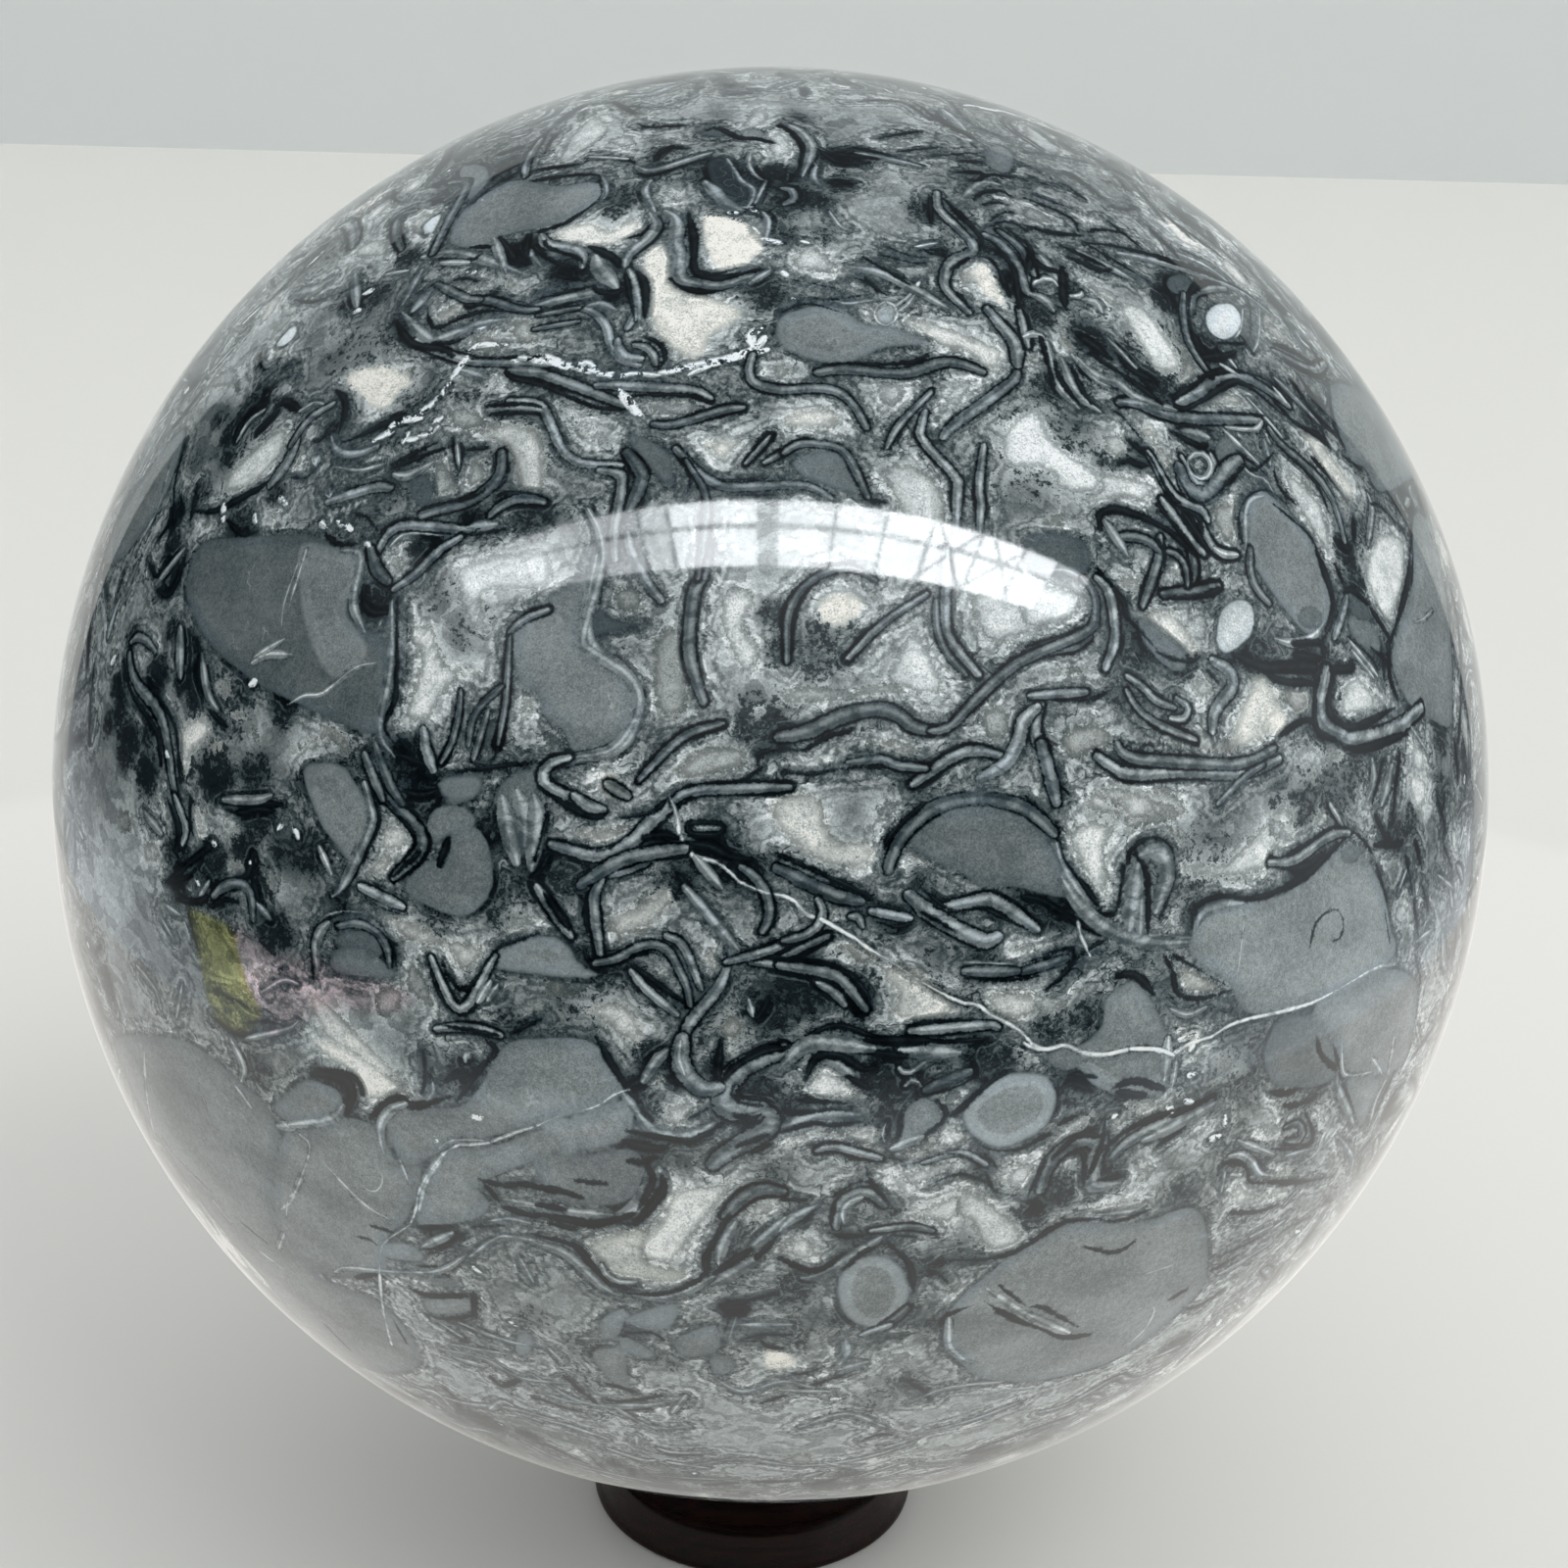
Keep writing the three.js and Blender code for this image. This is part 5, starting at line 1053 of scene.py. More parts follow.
def near_line(line, reach):
    """The ball's points within reach of a line: their numbers, their distance to its side and past its ends
    in millimetres, the first with a sign, and how far along it they are, from 0 to 1."""
    close = points_near(line, reach)
    points = ball_points[close]
    best = np.full(len(close), np.inf)
    aside = np.zeros(len(close))
    beyond = np.zeros(len(close))
    along = np.zeros(len(close))
    last = len(line) - 2
    for index, (start, end) in enumerate(zip(line, line[1:])):
        length = np.linalg.norm(end - start)
        if length == 0:
            continue
        tangent = (end - start) / length
        side = np.cross((start + end) / 2, tangent)
        side /= np.linalg.norm(side)
        offset = points - start
        run = offset @ tangent
        across = offset @ side
        past = np.abs(run - np.clip(run, 0, length))
        distance = np.hypot(across, past)
        better = distance < best
        best[better] = distance[better]
        at_end = better & (((index == 0) & (run < 0)) | ((index == last) & (run > length)))
        inner = better & ~at_end
        aside[inner] = np.copysign(distance, across)[inner]
        beyond[inner] = 0
        aside[at_end] = across[at_end]
        beyond[at_end] = past[at_end]
        along[better] = (index + np.clip(run / length, 0, 1)[better]) / (last + 1)
    within = best * radius_mm < reach
    return close[within], aside[within] * radius_mm, beyond[within] * radius_mm, along[within]


def near_patch(line, reach):
    """The ball's points inside a closed line or within reach of it, and their distance to it in millimetres,
    which is negative inside."""
    close = points_near(line, reach)
    points = ball_points[close]
    middle = line.mean(axis=0)
    middle /= np.linalg.norm(middle)
    first = np.cross(middle, (0.0, 0.6, 0.8))
    first /= np.linalg.norm(first)
    second = np.cross(middle, first)
    flat = points @ np.array([first, second]).T / (points @ middle)[:, None]
    flat_line = line @ np.array([first, second]).T / (line @ middle)[:, None]
    best = np.full(len(close), np.inf)
    inside = np.zeros(len(close), dtype=bool)
    for index in range(len(line) - 1):
        start, step = line[index], line[index + 1] - line[index]
        squared = step @ step
        if squared == 0:
            continue
        offset = points - start
        run = np.clip(offset @ step / squared, 0, 1)
        best = np.minimum(best, np.linalg.norm(offset - run[:, None] * step, axis=1))
        here, there = flat_line[index], flat_line[index + 1]
        if here[1] != there[1]:
            crosses = (here[1] > flat[:, 1]) != (there[1] > flat[:, 1])
            where = here[0] + (flat[:, 1] - here[1]) * (there[0] - here[0]) / (there[1] - here[1])
            inside ^= crosses & (flat[:, 0] < where)
    distance = best * radius_mm * np.where(inside, -1, 1)
    within = distance < reach
    return close[within], distance[within]


# A layer holds lines that keep clear of each other, so that the distances in it blend evenly between points.
# The last layer is for veins and the painted glints alone.
LINE_LAYERS = 12
CEMENT_LAYERS = 2
POCKET_LAYERS = 2
FAR_AWAY = 9.0
ROOM_REACH = 3.0
LINE_MARGIN = 0.12
LINE_REACH_IN_CELLS = 1.45  # a line's distances go on this far past its edge
LINE_KEEP_OFF_IN_CELLS = 2.9  # and other lines of its layer stay this far away
PATCH_REACH = 4.0
COVERED_SHARE = 0.04  # a patch may hide this much of another one in its layer
line_place = np.zeros((LINE_LAYERS, point_count, 3))
line_place[:, :, 1] = FAR_AWAY
line_look = np.zeros((LINE_LAYERS, point_count, 3))
line_taken = np.zeros((LINE_LAYERS, point_count), dtype=bool)
cement_fields = np.full((CEMENT_LAYERS, point_count, 3), FAR_AWAY)
pocket_fields = np.full((POCKET_LAYERS, point_count, 3), FAR_AWAY)
tints = np.full((point_count, 3), FAR_AWAY)
ground = np.zeros((point_count, 3))
ground[:, 0] = FAR_AWAY
# The pale field holds the paler ground round the cement and the painted reflected haze of the pale spots.
room, murk, paleness_and_painted_haze = ground.T
GLOW_FADE = 1.1
SPOT_EDGE = 1.5  # a spot fades out this many radii from its middle


def lay_line(line, half_width, tone, outline=0.0, taper=0.6, layers=LINE_LAYERS - 1):
    """Puts a line of one grey tone above the lines that it crosses. outline is how wide its black edge is."""
    close, aside, beyond, along = near_line(line, ROOM_REACH)
    half = half_width * (1 - taper + taper * np.minimum(1, np.minimum(along, 1 - along) * 4))
    distance = np.hypot(aside, beyond) - half
    room[close] = np.minimum(room[close], distance)
    needed = distance < outline + LINE_MARGIN + LINE_REACH_IN_CELLS * cell_mm[close]
    crowded = line_taken[:layers, close[needed]].any(axis=1)
    if crowded.all():
        return
    free = np.flatnonzero(~crowded)
    above = free[free > (np.flatnonzero(crowded).max() if crowded.any() else -1)]
    layer = above[0] if len(above) else free[-1]
    chosen = close[needed]
    line_place[layer, chosen, 0] = aside[needed]
    line_place[layer, chosen, 1] = beyond[needed]
    line_look[layer, chosen, :2] = (tone, outline)
    line_look[layer, chosen, 2] = half[needed]
    kept_free = distance < outline + LINE_MARGIN + LINE_KEEP_OFF_IN_CELLS * cell_mm[close]
    line_taken[layer, close[kept_free]] = True


def lay_patch(line, fields, look):
    """Puts a patch in the lowest layer of these fields where it covers no other one."""
    close, distance = near_patch(line, PATCH_REACH)
    within = close[distance < 0]
    covered = (fields[:, within, 0] < 0).sum(axis=1) > COVERED_SHARE * len(within)
    layer = len(fields) - 1 if covered.all() else int(np.flatnonzero(~covered)[0])
    nearer = distance < fields[layer, close, 0]
    chosen = close[nearer]
    fields[layer, chosen, 0] = distance[nearer]
    fields[layer, chosen, 1:] = look
    if fields is pocket_fields:
        room[close] = np.minimum(room[close], distance)
    else:
        paleness_and_painted_haze[close] = np.maximum(paleness_and_painted_haze[close], look[0] * np.exp(-np.maximum(distance, 0) / GLOW_FADE))


def lay_spot(place, field, radius, depth):
    """Raises a field round a place, given by one unit vector, out to a radius in millimetres."""
    away = np.linalg.norm(ball_points - place[0], axis=1) * radius_mm
    fade = np.clip(SPOT_EDGE - away / radius, 0, 1)
    field[:] = np.maximum(field, depth * fade * fade * (3 - 2 * fade))


# Every mark is kept as its points on the unit sphere, whether it is closed, and what lays it. Later marks
# lie above earlier ones: first patches and spots, then pockets, seams, bands, worms, threads and painted
# glints.
WIDTH_SCALE = 0.0088
DARK_WIDTH_SCALE = 0.0067
WORM_TONE = 0.148
WORM_OUTLINE = 0.18
DARK_TONE = 0.007
BAND_TONE = 0.19
THIN_LIGHT_TONES = (0.14, 0.34)
CREAM_TONE = 0.74
CREAM_HALF_WIDTH = 0.035
VEIN_RUN = 2
PAINTED_GLINT_TONE = 0.95
PAINTED_GLINT_HALF_WIDTHS = (0.15, 0.25)
WORM_TONE_SPREAD = (0.55, 1.45)
WORM_OUTLINE_SPREAD = (0.65, 1.1)
EYE_TONE = 3.3
pixel_mm = radius_mm / BALL_OUTLINE_PIXELS
marks = []
for brightness, cream, *pixels in cement_patches:
    look = (brightness / 100, cream / 100)
    marks.append((on_ball(pixels), True, partial(lay_patch, fields=cement_fields, look=look)))
cement_count = len(marks)
# The pale spots are partly painted haze: reflected light round the rim and under the window, painted into the
# ground.
for spots, field in ((murky_spots, murk), (pale_spots_and_painted_haze, paleness_and_painted_haze)):
    for x, y, pixel_radius, depth in spots:
        lay = partial(lay_spot, field=field, radius=pixel_radius * pixel_mm, depth=depth / 100)
        marks.append((on_ball((x, y)), None, lay))
for tone, rim, *pixels in smooth_pockets:
    look = (tone / 100, rim / 100)
    marks.append((on_ball(pixels), True, partial(lay_patch, fields=pocket_fields, look=look)))
for brightness, *pixels in white_eyes:
    look = (brightness / 100 * EYE_TONE, 0.0)
    marks.append((on_ball(pixels), True, partial(lay_patch, fields=pocket_fields, look=look)))
for half, *pixels in dark_lines:
    lay = partial(lay_line, half_width=half * DARK_WIDTH_SCALE, tone=DARK_TONE)
    marks.append((on_ball(pixels), False, lay))
for half, *pixels in light_bands:
    lay = partial(lay_line, half_width=half * WIDTH_SCALE, tone=BAND_TONE)
    marks.append((on_ball(pixels), False, lay))
for half, *pixels in worms:
    tone = WORM_TONE * random_draw.uniform(*WORM_TONE_SPREAD)
    edge = WORM_OUTLINE * random_draw.uniform(*WORM_OUTLINE_SPREAD)
    lay = partial(lay_line, half_width=half * WIDTH_SCALE, tone=tone, outline=edge, taper=0.3)
    marks.append((on_ball(pixels), False, lay))
for half, strength, *pixels in thin_lights:
    tone = THIN_LIGHT_TONES[0] + (THIN_LIGHT_TONES[1] - THIN_LIGHT_TONES[0]) * strength / 100
    lay = partial(lay_line, half_width=half * WIDTH_SCALE, tone=tone)
    marks.append((on_ball(pixels), False, lay))
for pixels in cream_veins:
    lay = partial(
        lay_line, half_width=CREAM_HALF_WIDTH, tone=CREAM_TONE, taper=0.3, layers=LINE_LAYERS
    )
    vein = on_ball(pixels)
    # A vein is laid in short runs, so that one crowded place doesn't cost the whole vein.
    for start in range(0, len(vein) - 1, VEIN_RUN):
        marks.append((vein[start:start + VEIN_RUN + 1], False, lay))
# Painted glints: sparkles of light, laid as bright white lines in the stone's colour.
for pixels in painted_glints:
    half_width = random_draw.uniform(*PAINTED_GLINT_HALF_WIDTHS)
    lay = partial(lay_line, half_width=half_width, tone=PAINTED_GLINT_TONE, taper=0.4, layers=LINE_LAYERS)
    marks.append((on_ball(pixels), False, lay))


def same_place(points):
    """Where a mark of the front stays."""
    return points


def to_the_back(points):
    """Where a mark of the front is repeated: mirrored, spread out to meet the front, and twisted."""
    right, up, out = (points @ np.array(axis) for axis in (camera_right, camera_up, camera_back))
    turn = np.arctan2(up, right) + BACK_TURN + BACK_TWIST * out
    angle = math.pi - BACK_SPREAD * np.arccos(np.clip(out, -1, 1))
    return (
        (np.sin(angle) * np.cos(turn))[:, None] * np.array(camera_right)
        + (np.sin(angle) * np.sin(turn))[:, None] * np.array(camera_up)
        + np.cos(angle)[:, None] * np.array(camera_back)
    )


def shape_of(points, closed):
    """What a mark is laid along: its one point, or a smooth line through its points."""
    return points if closed is None else smooth_line(points, closed)


# The picture shows only the front. The back repeats its marks.
BACK_TURN = 2.4
BACK_TWIST = 0.9
BACK_SPREAD = 1.3
for move in (same_place, to_the_back):
    for points, closed, lay in marks:
        lay(shape_of(move(points), closed))

# Bare spots, most of them round the edge of what the picture shows, get copies of marks at random turns.
FILL_TRIES = 5000
FILL_ROOM = 0.55
FILL_FRONTNESS = 0.45
finder = KDTree(point_count)
for index, point in enumerate(ball_points):
    finder.insert(point, index)
finder.balance()
for attempt in range(FILL_TRIES):
    if attempt % 100 == 0:
        bare = np.flatnonzero((room > 1.0) & (frontness < FILL_FRONTNESS))
    number = random_draw.integers(len(marks))
    points, closed, lay = marks[number]
    spot = Vector(ball_points[bare[random_draw.integers(len(bare))]])
    middle = Vector(points.mean(axis=0)).normalized()
    spin = Matrix.Rotation(random_draw.uniform(0, 2 * math.pi), 3, spot)
    shape = shape_of(points @ np.array(spin @ middle.rotation_difference(spot).to_matrix()).T, closed)
    under = [finder.find(point)[1] for point in shape]
    free = room[under] > FILL_ROOM
    if number < cement_count:
        free = cement_fields[:, under, 0].min(axis=0) > 0
    if free.all():
        lay(shape)

# One corner of the stone is stained olive green, with a plum stain beside it.
olive_stain = (193, 928, 219, 937, 238, 950, 245, 979, 254, 1007, 267, 1036, 254, 1052, 229, 1049, 213, 1023,
               206, 991, 197, 953)
plum_stain = (236, 946, 273, 968, 312, 975, 345, 985, 418, 1016, 395, 1032, 330, 1030, 299, 1050, 270, 1052)
STAIN_REACH = 2.5
for part, pixels in enumerate((olive_stain, plum_stain)):
    close, distance = near_patch(smooth_line(on_ball(pixels), closed=True), STAIN_REACH)
    tints[close, part] = distance


def store(name, values):
    """Keeps one number or vector for each of the ball's points."""
    kind, key = ("FLOAT", "value") if values.ndim == 1 else ("FLOAT_VECTOR", "vector")
    layer = ball_mesh.attributes.new(name, kind, "POINT")
    layer.data.foreach_set(key, values.astype(np.float32).ravel())


for index in range(LINE_LAYERS):
    store("line_place_%d" % index, line_place[index])
    store("line_look_%d" % index, line_look[index])
for index in range(CEMENT_LAYERS):
    store("cement_%d" % index, cement_fields[index])
for index in range(POCKET_LAYERS):
    store("pocket_%d" % index, pocket_fields[index])
store("tints", tints)
store("ground", ground)


class Signal:
    """An output socket of a shader tree on which arithmetic makes the math nodes."""

    def __init__(self, tree, socket):
        self.tree = tree
        self.socket = socket

    def made(self, operation, *others):
        values = [o.socket if isinstance(o, Signal) else o for o in others]
        return Signal(self.tree, plain_math(self.tree, operation, *values))

    def __add__(self, other):
        return self.made("ADD", self, other)

    __radd__ = __add__

    def __sub__(self, other):
        return self.made("SUBTRACT", self, other)

    def __rsub__(self, other):
        return self.made("SUBTRACT", other, self)

    def __mul__(self, other):
        return self.made("MULTIPLY", self, other)

    __rmul__ = __mul__

    def __truediv__(self, other):
        return self.made("DIVIDE", self, other)

    def absolute(self):
        return self.made("ABSOLUTE", self)

    def toward(self, other, amount):
        """This signal, changed into the other one by an amount from 0 to 1."""
        return self.made("MULTIPLY_ADD", other - self, amount, self)

    def ramp(self, start, end, low=0.0, high=1.0):
        """low at start and high at end, smooth between them. start may be the larger one."""
        start, end = (o.socket if isinstance(o, Signal) else o for o in (start, end))
        values = [("Value", self.socket), ("From Min", start), ("From Max", end)]
        values += [("To Min", low), ("To Max", high)]
        made = add_node(self.tree, "ShaderNodeMapRange", values, interpolation_type="SMOOTHSTEP")
        return Signal(self.tree, made.outputs[0])


def attribute(tree, name):
    """The vector attribute of that name, as a socket."""
    return add_node(tree, "ShaderNodeAttribute", attribute_name=name).outputs["Vector"]


def parts_of(tree, vector):
    """The three parts of a vector, as signals."""
    apart = add_node(tree, "ShaderNodeSeparateXYZ", [(0, vector)])
    return [Signal(tree, socket) for socket in apart.outputs]


def noise(tree, place, per_mm, detail=3.0, roughness=0.55, distortion=0.0, part=0):
    """Noise that repeats about per_mm times a millimetre. part 0 is one number, part 1 a colour."""
    made = add_node(
        tree,
        "ShaderNodeTexNoise",
        [("Vector", place), ("Scale", per_mm), ("Detail", detail), ("Roughness", roughness),
         ("Distortion", distortion)],
    )
    return Signal(tree, made.outputs[part])


def mixed(tree, below, above, amount):
    """The colour below with the colour above laid over it. A colour is a socket or three numbers."""
    made = add_node(tree, "ShaderNodeMix", data_type="RGBA")
    for index, value in ((0, amount), (6, below), (7, above)):
        value = value.socket if isinstance(value, Signal) else value
        if isinstance(value, bpy.types.NodeSocket):
            tree.links.new(value, made.inputs[index])
        else:
            made.inputs[index].default_value = (*value, 1.0) if isinstance(value, tuple) else value
    return made.outputs[2]


tree = stone.node_tree
tree.nodes.clear()
coordinates = add_node(tree, "ShaderNodeTexCoord")
millimetres = scaled(tree, coordinates.outputs["Object"], 1000.0)
bend = noise(tree, millimetres, 0.5, 3.0, part=1)
bent = vector_math(tree, "MULTIPLY_ADD", bend.socket, (2.2, 2.2, 2.2), millimetres)
flow = vector_math(tree, "MULTIPLY", bent, (0.8, 0.8, 1.5))
olive, plum = parts_of(tree, attribute(tree, "tints"))[:2]
space, murk, paleness_and_painted_haze = parts_of(tree, attribute(tree, "ground"))

# The ground mass is a mottled grey mud. Near the marks fine fringes follow them, away from them it is a
# mosaic of small bits. It is paler round the cement and under the painted haze of reflected light, and murky
# spots fill it with black specks.
CLOUDS_PER_MM = 0.22
STREAKS_PER_MM = 0.8
BITS_PER_MM = 0.85
GRAINS_PER_MM = 2.6
SPECKS_PER_MM = 9.0
DARK = 0.0065
PALE_STRAND = 0.26
clouds = noise(tree, flow, CLOUDS_PER_MM, 3.0, 0.5)
streaks = noise(tree, flow, STREAKS_PER_MM, 4.0, 0.62)
grains = noise(tree, millimetres, GRAINS_PER_MM, 4.0, 0.7)
specks = noise(tree, millimetres, SPECKS_PER_MM, 2.0, 0.6)
rough = (grains - 0.5) * 0.9 + (specks - 0.5) * 0.5
mixture = grains * 0.6 + streaks * 0.4
phase = space.ramp(0.0, 1.8) * 13.0 + streaks * 18.0
fringes = phase.made("SINE", phase).ramp(-1.0, 0.6, 0.50, 1.34)
away_from_marks = space.ramp(0.5, 1.8)
cells = add_node(tree, "ShaderNodeTexVoronoi", [("Vector", flow), ("Scale", BITS_PER_MM)])
bits = parts_of(tree, cells.outputs["Color"])[0].ramp(0.10, 0.90, 0.70, 1.36)
mottle = mixture.ramp(0.38, 0.62, 0.55, 1.42).toward(mixture.ramp(0.38, 0.62, 0.80, 1.18), away_from_marks)
mottle = mottle * fringes.toward(1.0, away_from_marks * 0.75) * bits.toward(1.0, 0.6 - away_from_marks * 0.6)
# The pale level includes painted haze, the reflected table, wall and window painted into the stone's colour.
level = paleness_and_painted_haze.ramp(0.0, 0.9, 0.160, 0.46) * (1.0 - murk * 0.5)
strand = (noise(tree, flow, 0.7, 2.0, 0.5) - 0.5).absolute()
strength = 1.0 - away_from_marks * 0.7
tone = (level * mottle).toward(DARK, strand.ramp(0.020, 0.006) * clouds.ramp(0.60, 0.46) * 0.8 * strength)
pale_strand = (strand - 0.045).absolute().ramp(0.009, 0.002) * mixture.ramp(0.46, 0.56) * 0.7
tone = tone.toward(PALE_STRAND, pale_strand * strength)
soot = (grains * 0.5 + specks * 0.2 + streaks * 0.3 + murk * 0.19).ramp(0.57, 0.66)
tone = tone.toward(DARK, soot * 0.93)
cream = paleness_and_painted_haze * 0.0

# White cement fills the hollows between the marks. It is whitest in its middle, and its greyer border is
# grainy and has fringes too. The warmer it is, the narrower is that border.
cracks = (grains - 0.5).absolute().ramp(0.016, 0.003)
cement_clouds = streaks.ramp(0.38, 0.60, 0.74, 1.0)
for index in range(CEMENT_LAYERS):
    distance, brightness, warmth = parts_of(tree, attribute(tree, "cement_%d" % index))
    frayed = distance + rough * 1.4
    shown = frayed.ramp(0.10, -0.10)
    phase = (distance + rough * 0.5) * 8.5 + mixture * 14.0
    border = phase.made("SINE", phase).ramp(-1.0, 1.0, 0.40, 0.80)
    inner = (frayed - warmth * warmth * 0.5).ramp(-0.3, -0.9)
    body = border.toward(1.0, inner) * (grains * 0.5 + specks * 0.5).ramp(0.36, 0.52, 0.64, 0.93)
    body = body * brightness.made("POWER", brightness, 1.25) * (1.0 - cracks * 0.30) * cement_clouds
    tone = tone.toward(body, shown)
    cream = cream.toward(warmth.toward(warmth * warmth, frayed.ramp(-0.3, -1.2)), shown)
tone = tone * (space + rough * 0.5).ramp(0.05, 0.55, 0.38, 1.0)
halo = (space - 0.42 + rough * 0.3).absolute().ramp(0.10, 0.02)
tone = tone.toward(tone * 1.5 + 0.05, halo * streaks.ramp(0.44, 0.56))
powder = specks * 0.7 + grains * 0.3
tone = tone * powder.ramp(0.36, 0.64, 0.80, 1.20)

# Pockets are cut shells and pebbles: fine-grained inside with a few scratches, some of them with a pale rim.
wobble = (noise(tree, millimetres, 1.5, 2.0) - 0.5) * 0.3
scratch = (noise(tree, bent, 0.33, 2.0, 0.4) - 0.5).absolute().ramp(0.004, 0.001) * clouds.ramp(0.48, 0.56)
for index in range(POCKET_LAYERS):
    distance, fill, rim = parts_of(tree, attribute(tree, "pocket_%d" % index))
    from_edge = distance + wobble * 0.6 + rough * 0.24
    body = fill * (clouds * 0.4 + grains * 0.3 + specks * 0.3).ramp(0.36, 0.64, 0.145, 0.300)
    body = body * from_edge.ramp(0.0, -0.9, 0.72, 1.0) * powder.ramp(0.36, 0.64, 0.90, 1.10) + scratch * 0.10
    body = body + (from_edge + 0.26).absolute().ramp(0.24, 0.04, 0.0, 0.013)
    body = body + rim * (from_edge + 0.48).absolute().ramp(0.50, 0.22, 0.0, 0.125)
    shown = from_edge.ramp(0.08, -0.10)
    tone = tone.toward(body, shown)
    cream = cream * (1.0 - shown)

# Lines: dark seams, pale bands, worms with a paler thread to one side and a ragged black edge, light threads,
# and the brightest ones, the painted glints of light in pits, which are broken into strings of chips.
swelling = 1.0 + wobble * 1.8 + rough * 1.0
soft_side = rough * 0.5 + wobble * 0.4 + (clouds - 0.5) * 0.7
aged = streaks.ramp(0.36, 0.64, 0.50, 1.55)
grained = powder.ramp(0.36, 0.64, 0.84, 1.16)
# These gaps break the painted glints into separate chips.
gaps = (noise(tree, millimetres, 1.7, 2.0, 0.6) * 0.7 + specks * 0.3).ramp(0.48, 0.42, 0.0, 0.5)
for index in range(LINE_LAYERS):
    place = attribute(tree, "line_place_%d" % index)
    away = Signal(tree, vector_math(tree, "LENGTH", place))
    fill, outline, half = parts_of(tree, attribute(tree, "line_look_%d" % index))
    from_edge = away - half * swelling + fill.ramp(0.85, 0.90) * gaps
    thread = (parts_of(tree, place)[0] / half - 0.25).absolute().ramp(0.70, 0.10, 0.75, 1.75)
    body = fill * aged * thread * grained * (from_edge + outline * 0.6).ramp(0.04, 0.15, 1.0, 0.05)
    tone = tone.toward(body, (from_edge - outline + soft_side).ramp(0.13, -0.07))

# The greys run from bluish black through a cool grey to white. Some of the cement is cream.
hues = add_node(tree, "ShaderNodeValToRGB", [("Fac", tone.socket)])
STOPS = [
    (0.0, (0.0, 0.0, 0.0)),
    (0.012, (0.0078, 0.0125, 0.0150)),
    (0.06, (0.042, 0.061, 0.0675)),
    (0.20, (0.180, 0.204, 0.205)),
    (0.50, (0.457, 0.505, 0.512)),
    (0.74, (0.708, 0.742, 0.745)),
    (0.80, (0.785, 0.805, 0.790)),
    (0.88, (0.875, 0.900, 0.905)),
]
while len(hues.color_ramp.elements) < len(STOPS):
    hues.color_ramp.elements.new(1.0)
for element, (position, hue) in zip(hues.color_ramp.elements, STOPS):
    element.position = position
    element.color = (*hue, 1.0)
colour = hues.outputs["Color"]
CREAM_HUE = (1.055, 1.0, 0.925)
COOL_HUE = (0.945, 0.995, 1.05)
OLIVE_HUE = (1.12, 1.08, 0.50)
OLIVE_GROUND = (0.085, 0.080, 0.030)
PLUM_HUE = (1.16, 0.90, 0.95)
warm = vector_math(tree, "MULTIPLY", colour, CREAM_HUE)
colour = mixed(tree, colour, warm, cream)
cool = vector_math(tree, "MULTIPLY", colour, COOL_HUE)
in_worm = (space - rough * 0.3).ramp(0.25, -0.15) * space.ramp(-1.0, -0.55)
colour = mixed(tree, colour, cool, in_worm * clouds.ramp(0.42, 0.58, 0.3, 1.0))
stain = (grains * 0.5 + streaks * 0.5).ramp(0.35, 0.6)
olive_hue = vector_math(tree, "MULTIPLY", colour, OLIVE_HUE)
olive_hue = mixed(tree, OLIVE_GROUND, olive_hue, 0.75)
colour = mixed(tree, colour, olive_hue, (olive + rough).ramp(0.25, -0.25))
plum_hue = vector_math(tree, "MULTIPLY", colour, PLUM_HUE)
colour = mixed(tree, colour, plum_hue, (plum + rough * 2.0).ramp(0.6, -0.6) * (stain * 0.6 + 0.4))

# Polished stone is smooth, but its grains take the polish a little differently.
polish = grains.ramp(0.3, 0.7, 0.03, 0.055)
GRAIN_HEIGHT = 0.00001
STONE_IOR = 1.54
relief = add_node(
    tree, "ShaderNodeBump", [("Height", specks.socket), ("Strength", 0.03), ("Distance", GRAIN_HEIGHT)]
)
shader = add_node(
    tree,
    "ShaderNodeBsdfPrincipled",
    [("Base Color", colour), ("Roughness", polish.socket), ("IOR", STONE_IOR), ("Normal", relief.outputs[0])],
)
add_node(tree, "ShaderNodeOutputMaterial", [("Surface", shader.outputs[0])])
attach(ball, "root")
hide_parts("sphere")

# The stand is a small dish turned from dark reddish wood and lacquered. The ball rests on its rounded lip.
# Its outline is the turned profile of the solid, with finer steps, in millimetres.
FOOT_DIAMETER = 24.6
FOOT_EDGE_HEIGHT = 3.6
FOOT_TAPER = 0.9
FOOT_EDGE_ROUND = 0.7
UNDERSIDE_CHAMFER = 0.4
LIP_RING_RADIUS = 9.6
LIP_SECTION_RADIUS = 1.7
LIP_CENTRE_HEIGHT = 8.6
WAIST_RADIUS = 8.9
WAIST_HEIGHT = 5.6
DISH_DEPTH = 2.6
TURN_STEPS = 192
PROFILE_STEPS = 120


def arc(centre, radius, start, end, count=12):
    """Points on a circle between two angles in degrees."""
    angles = np.radians(np.linspace(start, end, count))
    return [(centre[0] + radius * math.cos(a), centre[1] + radius * math.sin(a)) for a in angles]


def curved(start, pull, end, count=16):
    """Points on a curve from start to end that leans towards the pull point."""
    t = np.linspace(0, 1, count)[1:-1, None]
    bow = (1 - t)**2 * np.array(start) + 2 * t * (1 - t) * np.array(pull) + t**2 * np.array(end)
    return [tuple(point) for point in bow]


